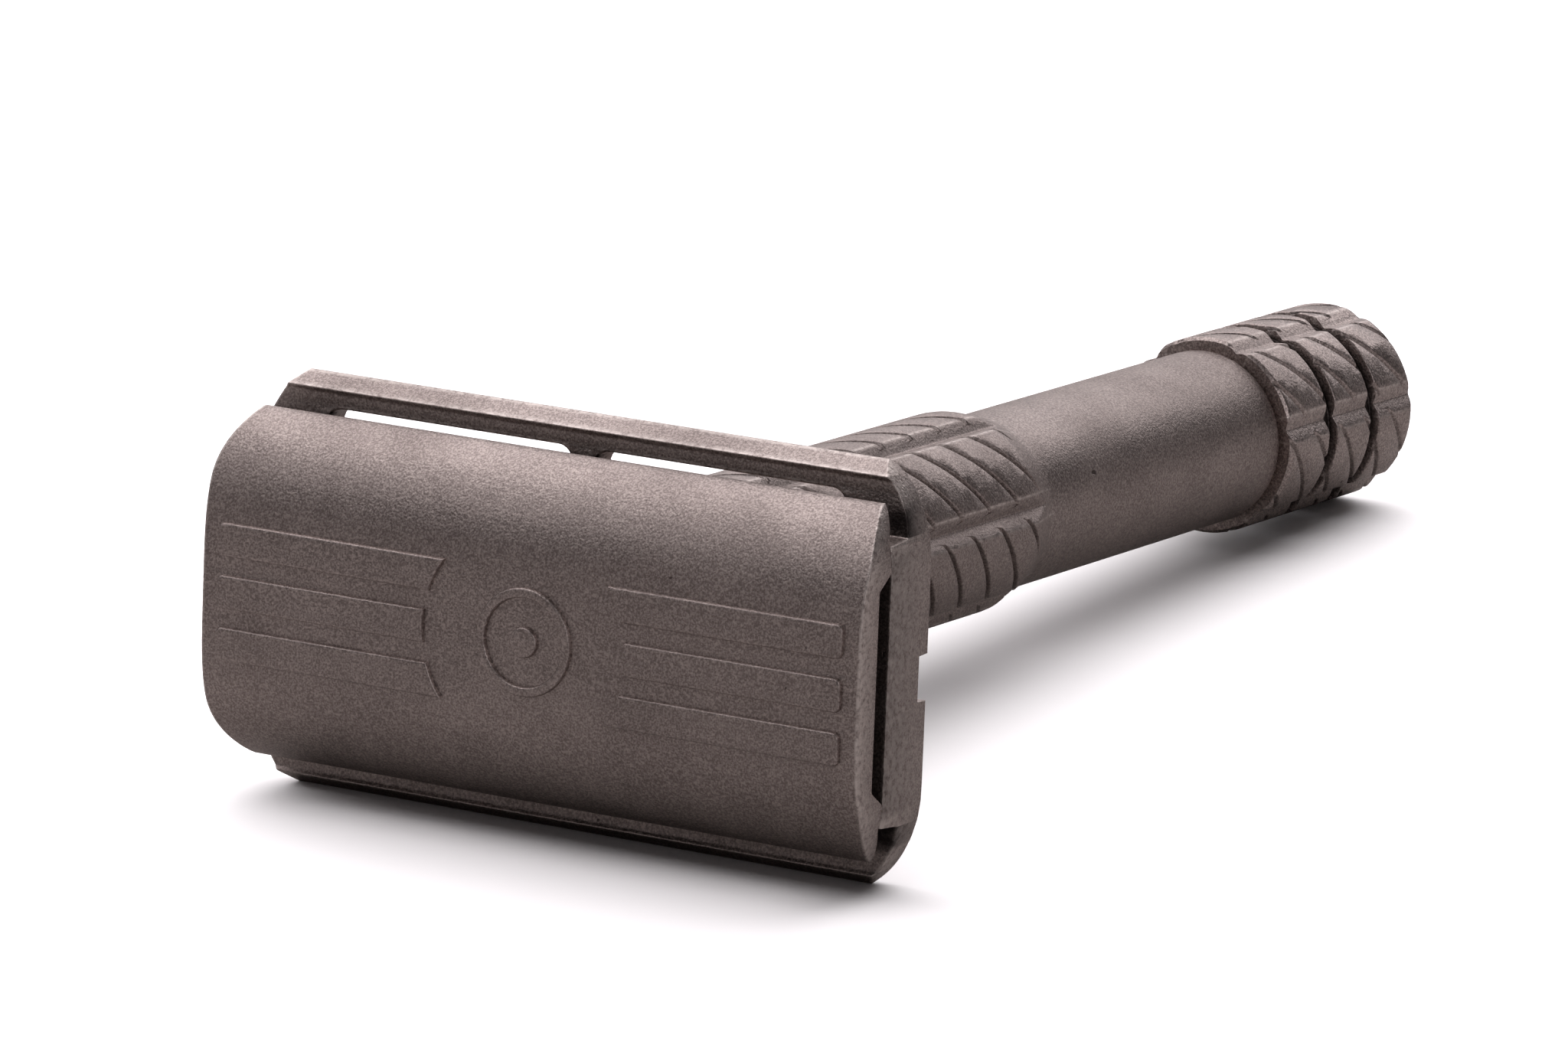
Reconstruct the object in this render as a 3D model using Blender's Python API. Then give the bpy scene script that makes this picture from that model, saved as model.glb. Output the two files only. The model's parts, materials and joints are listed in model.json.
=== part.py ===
"""Double-edge safety razor in machined steel: head of cap and base plate, threaded handle, end knob.

Every piece is drawn in the head's own axes, in millimetres: x along the cutting edge, v across the
head, n out through the cap. The handle runs along -n. place() then lays the razor on its guard and
its knob, so that the rows are metres with +Z up.
"""

import math

import bmesh
import bpy
from mathutils import Matrix, Vector

MM = 0.001

# How the razor lies: guard tip and knob both touch the ground.
LIE_TILT_DEG = 3.86
HEAD_CENTRE_Y = -43.645
HEAD_CENTRE_Z = 12.155

# Head outline.
HALF_LENGTH = 21.5
END_FLAT = 6.33
CAP_CORNER = 6.3
PLATE_CORNER = 7.5
CORNER_STEPS = 7

# Cap.
CAP_HALF = 10.04
CAP_TOP = 3.03
CAP_EDGE = -0.94
DOME_POWER = 4.0
DOME_ROOT = 0.87
CLAMP_HALF = 7.94
HOLLOW_HALF = 6.47
HOLLOW_ROOF_HALF = 5.61
HOLLOW_DEPTH = 1.2
BOSS_R = 4.2

# Raised bars and ring on the cap.
BAR_RISE = 0.25
BAR_HALF = 0.97
BAR_PITCH = 3.0
BAR_INNER_R = 6.62
BAR_OUTER = 20.45
BAR_CORNER = 0.4
RING_OUTER = 3.1
RING_INNER = 2.5
DOT_R = 0.9

# Base plate.
SEAM = 0.1
PLATFORM_HALF = 7.9
PLATFORM_FOOT = 8.04
CHANNEL_FLOOR = -2.45
GUARD_BEVEL_V = 11.2
GUARD_BEVEL_N = -2.3
GUARD_TIP_V = 11.94
GUARD_TIP_N = -3.57
PLATE_UNDER = -4.3
GROOVE_HALF = 1.29
GROOVE_TOP = -3.43
SLOT_V = 9.1
SLOT_R = 1.0
SLOT_IN = 0.7
SLOT_OUT = 17.05
STUD_HOLE_R = 2.75
PIN_HOLE_R = 1.62

# Stud and pins.
PIN_X = 8.5
PIN_R = 1.45
PIN_TOP = 2.2
PIN_END = -3.95
STUD_SHANK_R = 2.45
STUD_ROOT_R = 2.2
STUD_TOP = 1.75
STUD_END = -13.4
THREAD_PITCH = 0.8
THREAD_MAJOR = 2.45
THREAD_MINOR = 2.0
THREAD_CLEARANCE = 0.15
THREAD_SIDES = 14
THREAD_STEPS = 5
THREAD_START = -5.4

# Handle.
HANDLE_FRONT = -4.4
HANDLE_BACK = -74.4
TUBE_R = 5.35
LAND_R = 6.1
FLUTES = 6
FLUTE_PHASE_DEG = 10.7
FLUTE_WIDTH_DEG = 16.0
FLUTE_DEPTH = 0.7
GRIP_START = -6.4
GRIP_END = -43.0
GRIP_FADE = 3.6
HANDLE_BORE_R = 3.4
INSERT_R = 4.0
INSERT_FRONT = -4.5
INSERT_BACK = -15.4

# Rear joint and knob.
BUSH_FRONT = -66.0
BUSH_BACK = -74.3
BUSH_R = 4.0
JOINT_R = 2.45
JOINT_FRONT = -67.0
JOINT_BACK = -84.0
KNOB_FRONT = -74.5
KNOB_BACK = -90.6
KNOB_RINGS = (-79.9, -85.25)
KNOB_RING_HALF = 0.45
KNOB_RING_DEPTH = 0.7
KNOB_CHAMFER = 0.6
FIT_GAP = 0.1

STEEL = (0.30, 0.28, 0.27)
DARK_STEEL = (0.22, 0.21, 0.20)


def clear_scene():
    """Removes whatever the scene starts with."""
    for obj in list(bpy.data.objects):
        bpy.data.objects.remove(obj, do_unlink=True)


def material(name, colour, roughness):
    """A plain metal for one piece."""
    made = bpy.data.materials.new(name)
    made.use_nodes = True
    shader = made.node_tree.nodes["Principled BSDF"]
    shader.inputs["Base Color"].default_value = (*colour, 1.0)
    shader.inputs["Metallic"].default_value = 1.0
    shader.inputs["Roughness"].default_value = roughness
    return made


def lying_matrix():
    """Takes head axes in millimetres to the lying razor in metres."""
    turn = Matrix.Rotation(math.radians(90.0 - LIE_TILT_DEG), 4, "X")
    shift = Matrix.Translation(Vector((0.0, HEAD_CENTRE_Y, HEAD_CENTRE_Z)) * MM)
    return shift @ turn


def to_object(name, bm, smooth_deg=None):
    """Makes an object of a bmesh drawn in millimetres, still in head axes."""
    bmesh.ops.remove_doubles(bm, verts=bm.verts, dist=1e-5)
    bmesh.ops.recalc_face_normals(bm, faces=bm.faces)
    bmesh.ops.scale(bm, vec=(MM, MM, MM), verts=bm.verts)
    mesh = bpy.data.meshes.new(name)
    bm.to_mesh(mesh)
    bm.free()
    obj = bpy.data.objects.new(name, mesh)
    bpy.context.scene.collection.objects.link(obj)
    if smooth_deg is not None:
        mesh.shade_smooth()
        mesh.set_sharp_from_angle(angle=math.radians(smooth_deg))
    return obj


def place(obj, finish):
    """Lays a finished piece down and gives it its metal."""
    obj.matrix_world = lying_matrix()
    obj.data.materials.clear()
    obj.data.materials.append(finish)
    return obj


def cutter(obj, target, operation):
    """Applies an object to a target as an exact Boolean and removes the object."""
    step = target.modifiers.new(obj.name, "BOOLEAN")
    step.operation = operation
    step.solver = "EXACT"
    step.object = obj
    graph = bpy.context.evaluated_depsgraph_get()
    result = bpy.data.meshes.new_from_object(target.evaluated_get(graph), depsgraph=graph)
    target.modifiers.clear()
    old = target.data
    target.data = result
    bpy.data.meshes.remove(old)
    bpy.data.objects.remove(obj, do_unlink=True)


def bar_along_x(name, profile, half_length):
    """Extrudes a (v, n) outline along x."""
    bm = bmesh.new()
    ends = []
    for x in (-half_length, half_length):
        ends.append([bm.verts.new((x, v, n)) for v, n in profile])
    count = len(profile)
    for i in range(count):
        j = (i + 1) % count
        bm.faces.new((ends[0][i], ends[0][j], ends[1][j], ends[1][i]))
    bm.faces.new(ends[0])
    bm.faces.new(reversed(ends[1]))
    return to_object(name, bm)


def plate_along_n(name, outline, low, high):
    """Extrudes an (x, v) outline along n."""
    bm = bmesh.new()
    rings = []
    for n in (low, high):
        rings.append([bm.verts.new((x, v, n)) for x, v in outline])
    count = len(outline)
    for i in range(count):
        j = (i + 1) % count
        bm.faces.new((rings[0][i], rings[0][j], rings[1][j], rings[1][i]))
    bm.faces.new(reversed(rings[0]))
    bm.faces.new(rings[1])
    return to_object(name, bm)


def disc(x, v, radius, sides):
    """A regular outline round a point."""
    turns = [2.0 * math.pi * i / sides for i in range(sides)]
    return [(x + radius * math.cos(t), v + radius * math.sin(t)) for t in turns]


def swept(name, rows, sides, closed, smooth_deg=35.0):
    """Builds a round body from rows of (n, radius), where a radius may depend on the angle.

    Args:
        rows: (n, radius) or (n, function(angle) -> radius) for each ring.
        sides: vertices in a ring, or the list of their angles in radians.
        closed: True joins the last ring to the first, as for a piece with a through bore.
    """
    angles = sides
    if isinstance(sides, int):
        angles = [2.0 * math.pi * i / sides for i in range(sides)]
    bm = bmesh.new()
    rings = []
    for n, radius in rows:
        ring = []
        for i, angle in enumerate(angles):
            r = radius(angle) if callable(radius) else radius
            ring.append(bm.verts.new((r * math.cos(angle), r * math.sin(angle), n)))
        rings.append(ring)
    count = len(angles)
    pairs = list(zip(rings, rings[1:]))
    if closed:
        pairs.append((rings[-1], rings[0]))
    for first, second in pairs:
        for i in range(count):
            j = (i + 1) % count
            bm.faces.new((first[i], first[j], second[j], second[i]))
    if not closed:
        bm.faces.new(rings[0])
        bm.faces.new(reversed(rings[-1]))
    return to_object(name, bm, smooth_deg)


def head_outline(corner, reach):
    """Plan of the head: straight ends that curve in toward the long edges.

    Args:
        corner: radius of the end curves.
        reach: half-width at which the outline closes, past the long edges.
    """
    curve = []
    for i in range(CORNER_STEPS + 1):
        v = END_FLAT + (reach - END_FLAT) * i / CORNER_STEPS
        x = HALF_LENGTH - corner + math.sqrt(corner ** 2 - (v - END_FLAT) ** 2)
        curve.append((x, v))
    right = [(x, -v) for x, v in reversed(curve)] + curve
    return right + [(-x, -v) for x, v in right]


def dome(v, rise=0.0):
    """Height of the cap's outer surface at v."""
    share = min(abs(v) / CAP_HALF, 1.0)
    return CAP_EDGE + (CAP_TOP - CAP_EDGE) * (1.0 - share ** DOME_POWER) ** DOME_ROOT + rise


def dome_points():
    """The v values that follow the dome closely, from +edge to -edge."""
    half = [0.0, 2.0, 3.4, 4.5, 5.5, 6.4, 7.2, 7.9, 8.5, 9.0, 9.4, 9.7, 9.9, CAP_HALF]
    return [v for v in reversed(half)] + [-v for v in half[1:]]


def raised_shapes():
    """Plans of the six bars, the ring and the dot."""
    shapes = []
    for row in (-1, 0, 1):
        low = row * BAR_PITCH - BAR_HALF
        high = row * BAR_PITCH + BAR_HALF
        inner = []
        for i in range(4):
            v = low + (high - low) * i / 3
            inner.append((math.sqrt(BAR_INNER_R ** 2 - v ** 2), v))
        outer = []
        for centre_v, start in ((high - BAR_CORNER, 90.0), (low + BAR_CORNER, 0.0)):
            for step in range(3):
                turn = math.radians(start - 45.0 * step)
                x = BAR_OUTER - BAR_CORNER + BAR_CORNER * math.cos(turn)
                outer.append((x, centre_v + BAR_CORNER * math.sin(turn)))
        plan = inner + outer
        shapes.append(list(reversed(plan)))
        shapes.append([(-x, v) for x, v in plan])
    return shapes


def add_raised(cap, plan, index):
    """Raises one plan above the dome."""
    step = plate_along_n(f"raised_{index}", plan, 1.7, 4.0)
    skin = [(v, dome(v, BAR_RISE)) for v in dome_points() if abs(v) < 6.0]
    top = bar_along_x(f"skin_{index}", skin + [(-5.5, 1.6), (5.5, 1.6)], HALF_LENGTH + 1.0)
    cutter(top, step, "INTERSECT")
    cutter(step, cap, "UNION")


def build_cap(finish):
    """Domed cap, hollow below, with raised bars, a ring and blind holes for stud and pins."""
    top = [(v, dome(v)) for v in dome_points()]
    under = [
        (-CAP_HALF, CAP_EDGE - 0.14),
        (-9.7, CAP_EDGE - 0.05),
        (-8.7, -0.42),
        (-CLAMP_HALF, 0.0),
        (-HOLLOW_HALF, 0.0),
        (-HOLLOW_ROOF_HALF, HOLLOW_DEPTH),
    ]
    profile = top + under + [(-v, n) for v, n in reversed(under)]
    cap = bar_along_x("cap", profile, HALF_LENGTH + 1.0)
    outline = plate_along_n("outline", head_outline(CAP_CORNER, CAP_HALF + 0.6), -2.5, 5.0)
    cutter(outline, cap, "INTERSECT")
    cutter(plate_along_n("boss", disc(0.0, 0.0, BOSS_R, 32), 0.0, 1.5), cap, "UNION")
    for index, plan in enumerate(raised_shapes()):
        add_raised(cap, plan, index)
    add_raised(cap, disc(0.0, 0.0, RING_OUTER, 32), 10)
    well = plate_along_n("well", disc(0.0, 0.0, RING_INNER, 32), CAP_TOP, 4.0)
    cutter(well, cap, "DIFFERENCE")
    cutter(plate_along_n("dot", disc(0.0, 0.0, DOT_R, 24), 2.6, CAP_TOP + BAR_RISE), cap, "UNION")
    stud_hole = plate_along_n("stud_hole", disc(0.0, 0.0, STUD_ROOT_R + FIT_GAP, 20), -1.0, 1.9)
    cutter(stud_hole, cap, "DIFFERENCE")
    for x in (-PIN_X, PIN_X):
        hole = plate_along_n("pin_hole", disc(x, 0.0, PIN_R + FIT_GAP, 16), 0.5, PIN_TOP + FIT_GAP)
        cutter(hole, cap, "DIFFERENCE")
    return place(cap, finish)


def build_base_plate(finish):
    """Base plate: platform for the blade, channels, guard bars, drain slots and holes."""
    right = [
        (GROOVE_HALF, PLATE_UNDER),
        (10.7, PLATE_UNDER),
        (11.4, -4.12),
        (11.8, -3.85),
        (GUARD_TIP_V, GUARD_TIP_N),
        (GUARD_BEVEL_V, GUARD_BEVEL_N),
        (11.0, CHANNEL_FLOOR),
        (PLATFORM_FOOT + 0.25, CHANNEL_FLOOR),
        (PLATFORM_FOOT, CHANNEL_FLOOR + 0.2),
        (PLATFORM_HALF, -SEAM - 0.15),
        (PLATFORM_HALF - 0.15, -SEAM),
    ]
    left = [(-v, n) for v, n in reversed(right)]
    groove = [(-GROOVE_HALF, GROOVE_TOP), (GROOVE_HALF, GROOVE_TOP)]
    plate = bar_along_x("base_plate", right + left + groove, HALF_LENGTH + 1.0)
    outline = plate_along_n("outline", head_outline(PLATE_CORNER, GUARD_TIP_V + 0.5), -6.0, 1.0)
    cutter(outline, plate, "INTERSECT")
    for side in (-1, 1):
        for end in (-1, 1):
            middle = end * (SLOT_IN + SLOT_OUT) / 2.0
            half = (SLOT_OUT - SLOT_IN) / 2.0 - SLOT_R
            plan = []
            for step in range(17):
                turn = math.radians(-90.0 + 180.0 * (step % 9) / 8 + (180.0 if step > 8 else 0.0))
                centre = middle + (half if step <= 8 else -half)
                plan.append((centre + SLOT_R * math.cos(turn), side * SLOT_V + SLOT_R * math.sin(turn)))
            plan.append((middle - half, side * SLOT_V - SLOT_R))
            cutter(plate_along_n("slot", plan, -6.0, -1.5), plate, "DIFFERENCE")
    cutter(plate_along_n("stud_way", disc(0.0, 0.0, STUD_HOLE_R, 24), -6.0, 1.0), plate, "DIFFERENCE")
    for x in (-PIN_X, PIN_X):
        way = plate_along_n("pin_way", disc(x, 0.0, PIN_HOLE_R, 16), -6.0, 1.0)
        cutter(way, plate, "DIFFERENCE")
    return place(plate, finish)


def thread_radius(n, low, high):
    """Right-hand thread: gives the radius at an angle for the ring at n."""
    def radius(angle):
        share = (n / THREAD_PITCH - angle / (2.0 * math.pi)) % 1.0
        wave = abs(2.0 * share - 1.0)
        wave = min(max((wave - 0.15) / 0.7, 0.0), 1.0)
        return low + (high - low) * wave
    return radius


def thread_rows(start, end, low, high):
    """Rings of a thread between two stations."""
    count = round(abs(end - start) / THREAD_PITCH * THREAD_STEPS)
    rows = []
    for i in range(count + 1):
        n = start + (end - start) * i / count
        rows.append((n, thread_radius(n, low, high)))
    return rows


def build_stud(finish):
    """Stud pressed into the cap, threaded where it enters the handle."""
    rows = [
        (STUD_TOP, STUD_ROOT_R - 0.2),
        (STUD_TOP - 0.2, STUD_ROOT_R),
        (-0.05, STUD_ROOT_R),
        (-0.15, STUD_SHANK_R),
        (-4.7, STUD_SHANK_R),
        (-4.95, THREAD_MINOR),
    ]
    rows += thread_rows(THREAD_START, STUD_END + 0.6, THREAD_MINOR, THREAD_MAJOR)
    rows += [(STUD_END + 0.4, THREAD_MINOR), (STUD_END, THREAD_MINOR - 0.45)]
    return place(swept("cap_stud", rows, THREAD_SIDES, False), finish)


def build_pin(name, x, finish):
    """Locating pin pressed into the cap."""
    rows = [
        (PIN_TOP, PIN_R - 0.15),
        (PIN_TOP - 0.15, PIN_R),
        (PIN_END + 0.45, PIN_R),
        (PIN_END, PIN_R - 0.45),
    ]
    pin = swept(name, rows, 20, False)
    for vertex in pin.data.vertices:
        vertex.co.x += x * MM
    return place(pin, finish)


def fluted_angles():
    """Ring angles that fall on the flutes' edges and floors."""
    angles = []
    pitch = 360.0 / FLUTES
    half = FLUTE_WIDTH_DEG / 2.0
    for k in range(FLUTES):
        centre = FLUTE_PHASE_DEG + k * pitch
        marks = [-half, 0.0, half]
        land = pitch - FLUTE_WIDTH_DEG
        marks += [half + land * share for share in (0.25, 0.5, 0.75)]
        angles += [math.radians(centre + mark) for mark in marks]
    return angles


def fluted(land, share):
    """Radius round a fluted ring.

    Args:
        land: radius of the lands.
        share: 1 for full flutes, 0 for none.
    """
    def radius(angle):
        pitch = 2.0 * math.pi / FLUTES
        off = (angle - math.radians(FLUTE_PHASE_DEG) + pitch / 2.0) % pitch - pitch / 2.0
        reach = max(0.0, 1.0 - abs(off) / math.radians(FLUTE_WIDTH_DEG / 2.0))
        return land - FLUTE_DEPTH * share * reach
    return radius


def build_handle(finish):
    """Fluted grip that fades into a plain tube, bored through, with a seat at each end."""
    rows = [
        (HANDLE_FRONT, LAND_R - 0.5),
        (HANDLE_FRONT - 0.5, LAND_R),
        (GRIP_START, LAND_R),
        (GRIP_START - 0.9, fluted(LAND_R, 1.0)),
        (GRIP_END, fluted(LAND_R, 1.0)),
        (GRIP_END - 0.25 * GRIP_FADE, fluted(LAND_R - 0.12, 0.9)),
        (GRIP_END - 0.5 * GRIP_FADE, fluted(LAND_R - 0.38, 0.5)),
        (GRIP_END - 0.75 * GRIP_FADE, fluted(LAND_R - 0.65, 0.1)),
        (GRIP_END - GRIP_FADE, TUBE_R),
        (HANDLE_BACK + 0.3, TUBE_R),
        (HANDLE_BACK, TUBE_R - 0.3),
        (HANDLE_BACK, BUSH_R + FIT_GAP),
        (BUSH_FRONT + FIT_GAP, BUSH_R + FIT_GAP),
        (BUSH_FRONT + FIT_GAP, HANDLE_BORE_R),
        (INSERT_BACK - FIT_GAP, HANDLE_BORE_R),
        (INSERT_BACK - FIT_GAP, INSERT_R + FIT_GAP),
        (HANDLE_FRONT, INSERT_R + FIT_GAP),
    ]
    return place(swept("handle_body", rows, fluted_angles(), True), finish)


def build_insert(finish):
    """Threaded insert in the handle's mouth."""
    minor = THREAD_MINOR + THREAD_CLEARANCE
    major = THREAD_MAJOR + THREAD_CLEARANCE
    rows = [
        (INSERT_BACK, major),
        (INSERT_BACK, INSERT_R - 0.3),
        (INSERT_BACK + 0.3, INSERT_R),
        (INSERT_FRONT - 0.2, INSERT_R),
        (INSERT_FRONT, INSERT_R - 0.2),
        (INSERT_FRONT, major + 0.3),
        (INSERT_FRONT - 0.5, major),
    ]
    rows += thread_rows(THREAD_START, INSERT_BACK + 0.6, minor, major)
    return place(swept("thread_insert", rows, THREAD_SIDES, True), finish)


def build_bush(finish):
    """Bush in the tube's rear end that holds the knob's joint."""
    rows = [
        (BUSH_BACK, JOINT_R + FIT_GAP),
        (BUSH_FRONT, JOINT_R + FIT_GAP),
        (BUSH_FRONT, BUSH_R - 0.2),
        (BUSH_FRONT - 0.2, BUSH_R),
        (BUSH_BACK + 0.2, BUSH_R),
        (BUSH_BACK, BUSH_R - 0.2),
    ]
    return place(swept("tail_bush", rows, 24, True), finish)


def build_joint(finish):
    """Grooved dowel that joins knob and tube."""
    rows = [(JOINT_FRONT, JOINT_R - 0.3), (JOINT_FRONT - 0.3, JOINT_R)]
    for n in (-69.0, -72.0, -77.5, -81.0):
        rows += [(n, JOINT_R), (n - 0.2, JOINT_R - 0.25)]
        rows += [(n - 0.6, JOINT_R - 0.25), (n - 0.8, JOINT_R)]
    rows += [(JOINT_BACK + 0.3, JOINT_R), (JOINT_BACK, JOINT_R - 0.3)]
    return place(swept("knob_joint", rows, 20, False), finish)


def build_knob(finish):
    """Fluted end knob in three bands, with a blind bore."""
    rows = [(KNOB_FRONT, LAND_R - 0.2), (KNOB_FRONT - 0.2, fluted(LAND_R, 1.0))]
    low = LAND_R - KNOB_RING_DEPTH
    for n in KNOB_RINGS:
        rows += [
            (n + KNOB_RING_HALF, fluted(LAND_R, 1.0)),
            (n + KNOB_RING_HALF - 0.05, low),
            (n - KNOB_RING_HALF + 0.05, low),
            (n - KNOB_RING_HALF, fluted(LAND_R, 1.0)),
        ]
    rows += [
        (KNOB_BACK + KNOB_CHAMFER, fluted(LAND_R, 1.0)),
        (KNOB_BACK + 0.3 * KNOB_CHAMFER, fluted(LAND_R - 0.3, 0.6)),
        (KNOB_BACK, LAND_R - 0.9),
    ]
    knob = swept("end_knob", rows, fluted_angles(), False)
    bore = plate_along_n("bore", disc(0.0, 0.0, JOINT_R + FIT_GAP, 20), JOINT_BACK - FIT_GAP, -70.0)
    cutter(bore, knob, "DIFFERENCE")
    return place(knob, finish)


def main():
    """Builds the razor piece by piece."""
    clear_scene()
    build_cap(material("cap_steel", STEEL, 0.45))
    build_stud(material("stud_steel", DARK_STEEL, 0.3))
    for name, x in (("pin_left", -PIN_X), ("pin_right", PIN_X)):
        build_pin(name, x, material(name + "_steel", DARK_STEEL, 0.3))
    build_base_plate(material("plate_steel", STEEL, 0.45))
    build_handle(material("handle_steel", STEEL, 0.4))
    build_insert(material("insert_steel", DARK_STEEL, 0.3))
    build_bush(material("bush_steel", DARK_STEEL, 0.35))
    build_joint(material("joint_steel", DARK_STEEL, 0.35))
    build_knob(material("knob_steel", STEEL, 0.35))


main()
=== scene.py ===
"""Looks of a double-edge safety razor in bead-blasted steel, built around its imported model.

Sizes inside the classes are millimetres in the head's own axes: x along the cutting edge, v across the
head, n out through the cap, with the handle along -n. HeadAxes lays them in the row frame's metres.
"""

import json
import logging
import math
from collections.abc import Callable, Sequence
from dataclasses import dataclass, field
from enum import Enum

import bmesh
import bpy
import numpy as np
from mathutils import Matrix, Vector
from mathutils.geometry import delaunay_2d_cdt


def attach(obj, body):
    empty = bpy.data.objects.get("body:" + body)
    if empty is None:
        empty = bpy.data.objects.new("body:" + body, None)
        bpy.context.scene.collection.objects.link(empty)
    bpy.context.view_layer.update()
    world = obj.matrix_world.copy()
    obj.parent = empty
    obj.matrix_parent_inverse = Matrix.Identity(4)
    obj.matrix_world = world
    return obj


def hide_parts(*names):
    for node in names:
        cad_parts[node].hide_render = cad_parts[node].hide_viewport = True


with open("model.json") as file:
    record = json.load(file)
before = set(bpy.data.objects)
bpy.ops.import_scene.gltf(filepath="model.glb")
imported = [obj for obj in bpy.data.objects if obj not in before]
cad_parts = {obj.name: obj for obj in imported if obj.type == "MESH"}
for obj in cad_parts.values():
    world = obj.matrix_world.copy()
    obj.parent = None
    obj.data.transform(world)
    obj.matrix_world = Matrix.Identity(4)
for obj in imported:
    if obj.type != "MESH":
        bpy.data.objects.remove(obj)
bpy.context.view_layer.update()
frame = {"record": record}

MM = 0.001
MERGE = 1e-4
# Vertex attribute for a brighter edge colour: partly wear on rubbed edges, partly a painted highlight along
# them.
WEAR_AND_GLINT = "wear_and_glint"
# Vertex attribute of painted shade: a darker colour laid into grooves, rings, and the plate's channels and
# platform under the cap.
PAINTED_SHADE = "painted_shade"

Point = tuple[float, float]
Line = list[Point]
Row = tuple[float, float | Callable[[float], float]]
Surface = Callable[[float, float], float]


class Body(Enum):
    """The moving bodies of the razor."""

    CAP_SET = "cap_set"
    PLATE = "plate"
    HANDLE = "handle"


class Side(Enum):
    """Which way a mirrored feature lies along x."""

    LEFT = -1.0
    RIGHT = 1.0


def smooth_step(share: float) -> float:
    """Goes from 0 to 1 with level ends."""
    share = min(max(share, 0.0), 1.0)
    return share * share * (3.0 - 2.0 * share)


def ramp(past: float, width: float) -> float:
    """0 before a wall, 1 past it, and straight between."""
    return min(max(past / width, 0.0), 1.0)


def soft_min(first: float, second: float, width: float) -> float:
    """The lower of two values, rounded off where they are closer than the width."""
    near = max(width - abs(first - second), 0.0) / width
    return min(first, second) - near * near * width / 4.0


def rounded_drop(distance: float, radius: float) -> float:
    """How far a rounded edge lies below a sharp one.

    Args:
        distance: how far in from the edge.
        radius: radius of the rounding.

    Returns:
        The drop, 0 past the rounding.
    """
    if distance >= radius:
        return 0.0
    return radius - math.sqrt(radius**2 - (radius - max(distance, 0.0)) ** 2)


def edge_steps(radius: float, steps: int) -> list[float]:
    """Distances in from an edge, 0 to the radius, that follow its rounding evenly."""
    return [radius * (1.0 - math.cos(math.pi / 2.0 * i / steps)) for i in range(steps + 1)]


def softened(corners: Line, radius: float, steps: int = 4) -> Line:
    """Rounds the corners of an open outline.

    Args:
        corners: the sharp outline.
        radius: how far from each corner the rounding starts.
        steps: facets in each rounding.

    Returns:
        The rounded outline.
    """
    made = [corners[0]]
    for before, corner, after in zip(corners, corners[1:], corners[2:]):
        middle = Vector(corner)
        to_before = Vector(before) - middle
        to_after = Vector(after) - middle
        start = middle + to_before.normalized() * min(radius, to_before.length / 2.1)
        end = middle + to_after.normalized() * min(radius, to_after.length / 2.1)
        for i in range(steps + 1):
            t = i / steps
            point = start * (1 - t) ** 2 + middle * 2 * t * (1 - t) + end * t**2
            made.append((point.x, point.y))
    made.append(corners[-1])
    return made


def circle(x: float, radius: float, sides: int) -> Line:
    """A closed anticlockwise circle round a place on the head's middle line."""
    turns = [2.0 * math.pi * i / sides for i in range(sides)] + [0.0]
    return [(x + radius * math.cos(t), radius * math.sin(t)) for t in turns]


def even_places(height: Callable[[float], float], reach: float, step: float) -> list[float]:
    """Places across a profile that lie about one step apart along its surface.

    Args:
        height: the profile.
        reach: where it ends.
        step: the wanted spacing.

    Returns:
        Places from 0 to the reach.
    """
    fine = 4000
    places = [0.0]
    walked = 0.0
    for i in range(fine):
        a, b = reach * i / fine, reach * (i + 1) / fine
        walked += math.hypot(b - a, height(b) - height(a))
        if walked >= step and i < fine - 1:
            places.append(b)
            walked = 0.0
    return places + [reach]


def mirrored(places: Sequence[float], gap: float = 0.012) -> list[float]:
    """Sorted places on both sides of the middle, with near twins dropped.

    Args:
        places: places on the positive side.
        gap: twins closer than this count once.

    Returns:
        All places in rising order.
    """
    kept: list[float] = []
    for place in sorted(set(places)):
        if not kept or place - kept[-1] > gap:
            kept.append(place)
    if kept[-1] != max(places):
        kept[-1] = max(places)
    return sorted({-p for p in kept} | set(kept))


class Profile:
    """A profile across the head, the same on both sides of its middle."""

    def __init__(self, line: Line) -> None:
        """Keeps its places and heights."""
        self.places = [v for v, _ in line]
        self.heights = [n for _, n in line]

    def at(self, v: float) -> float:
        """Its height at a place across the head."""
        return float(np.interp(abs(v), self.places, self.heights))


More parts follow.
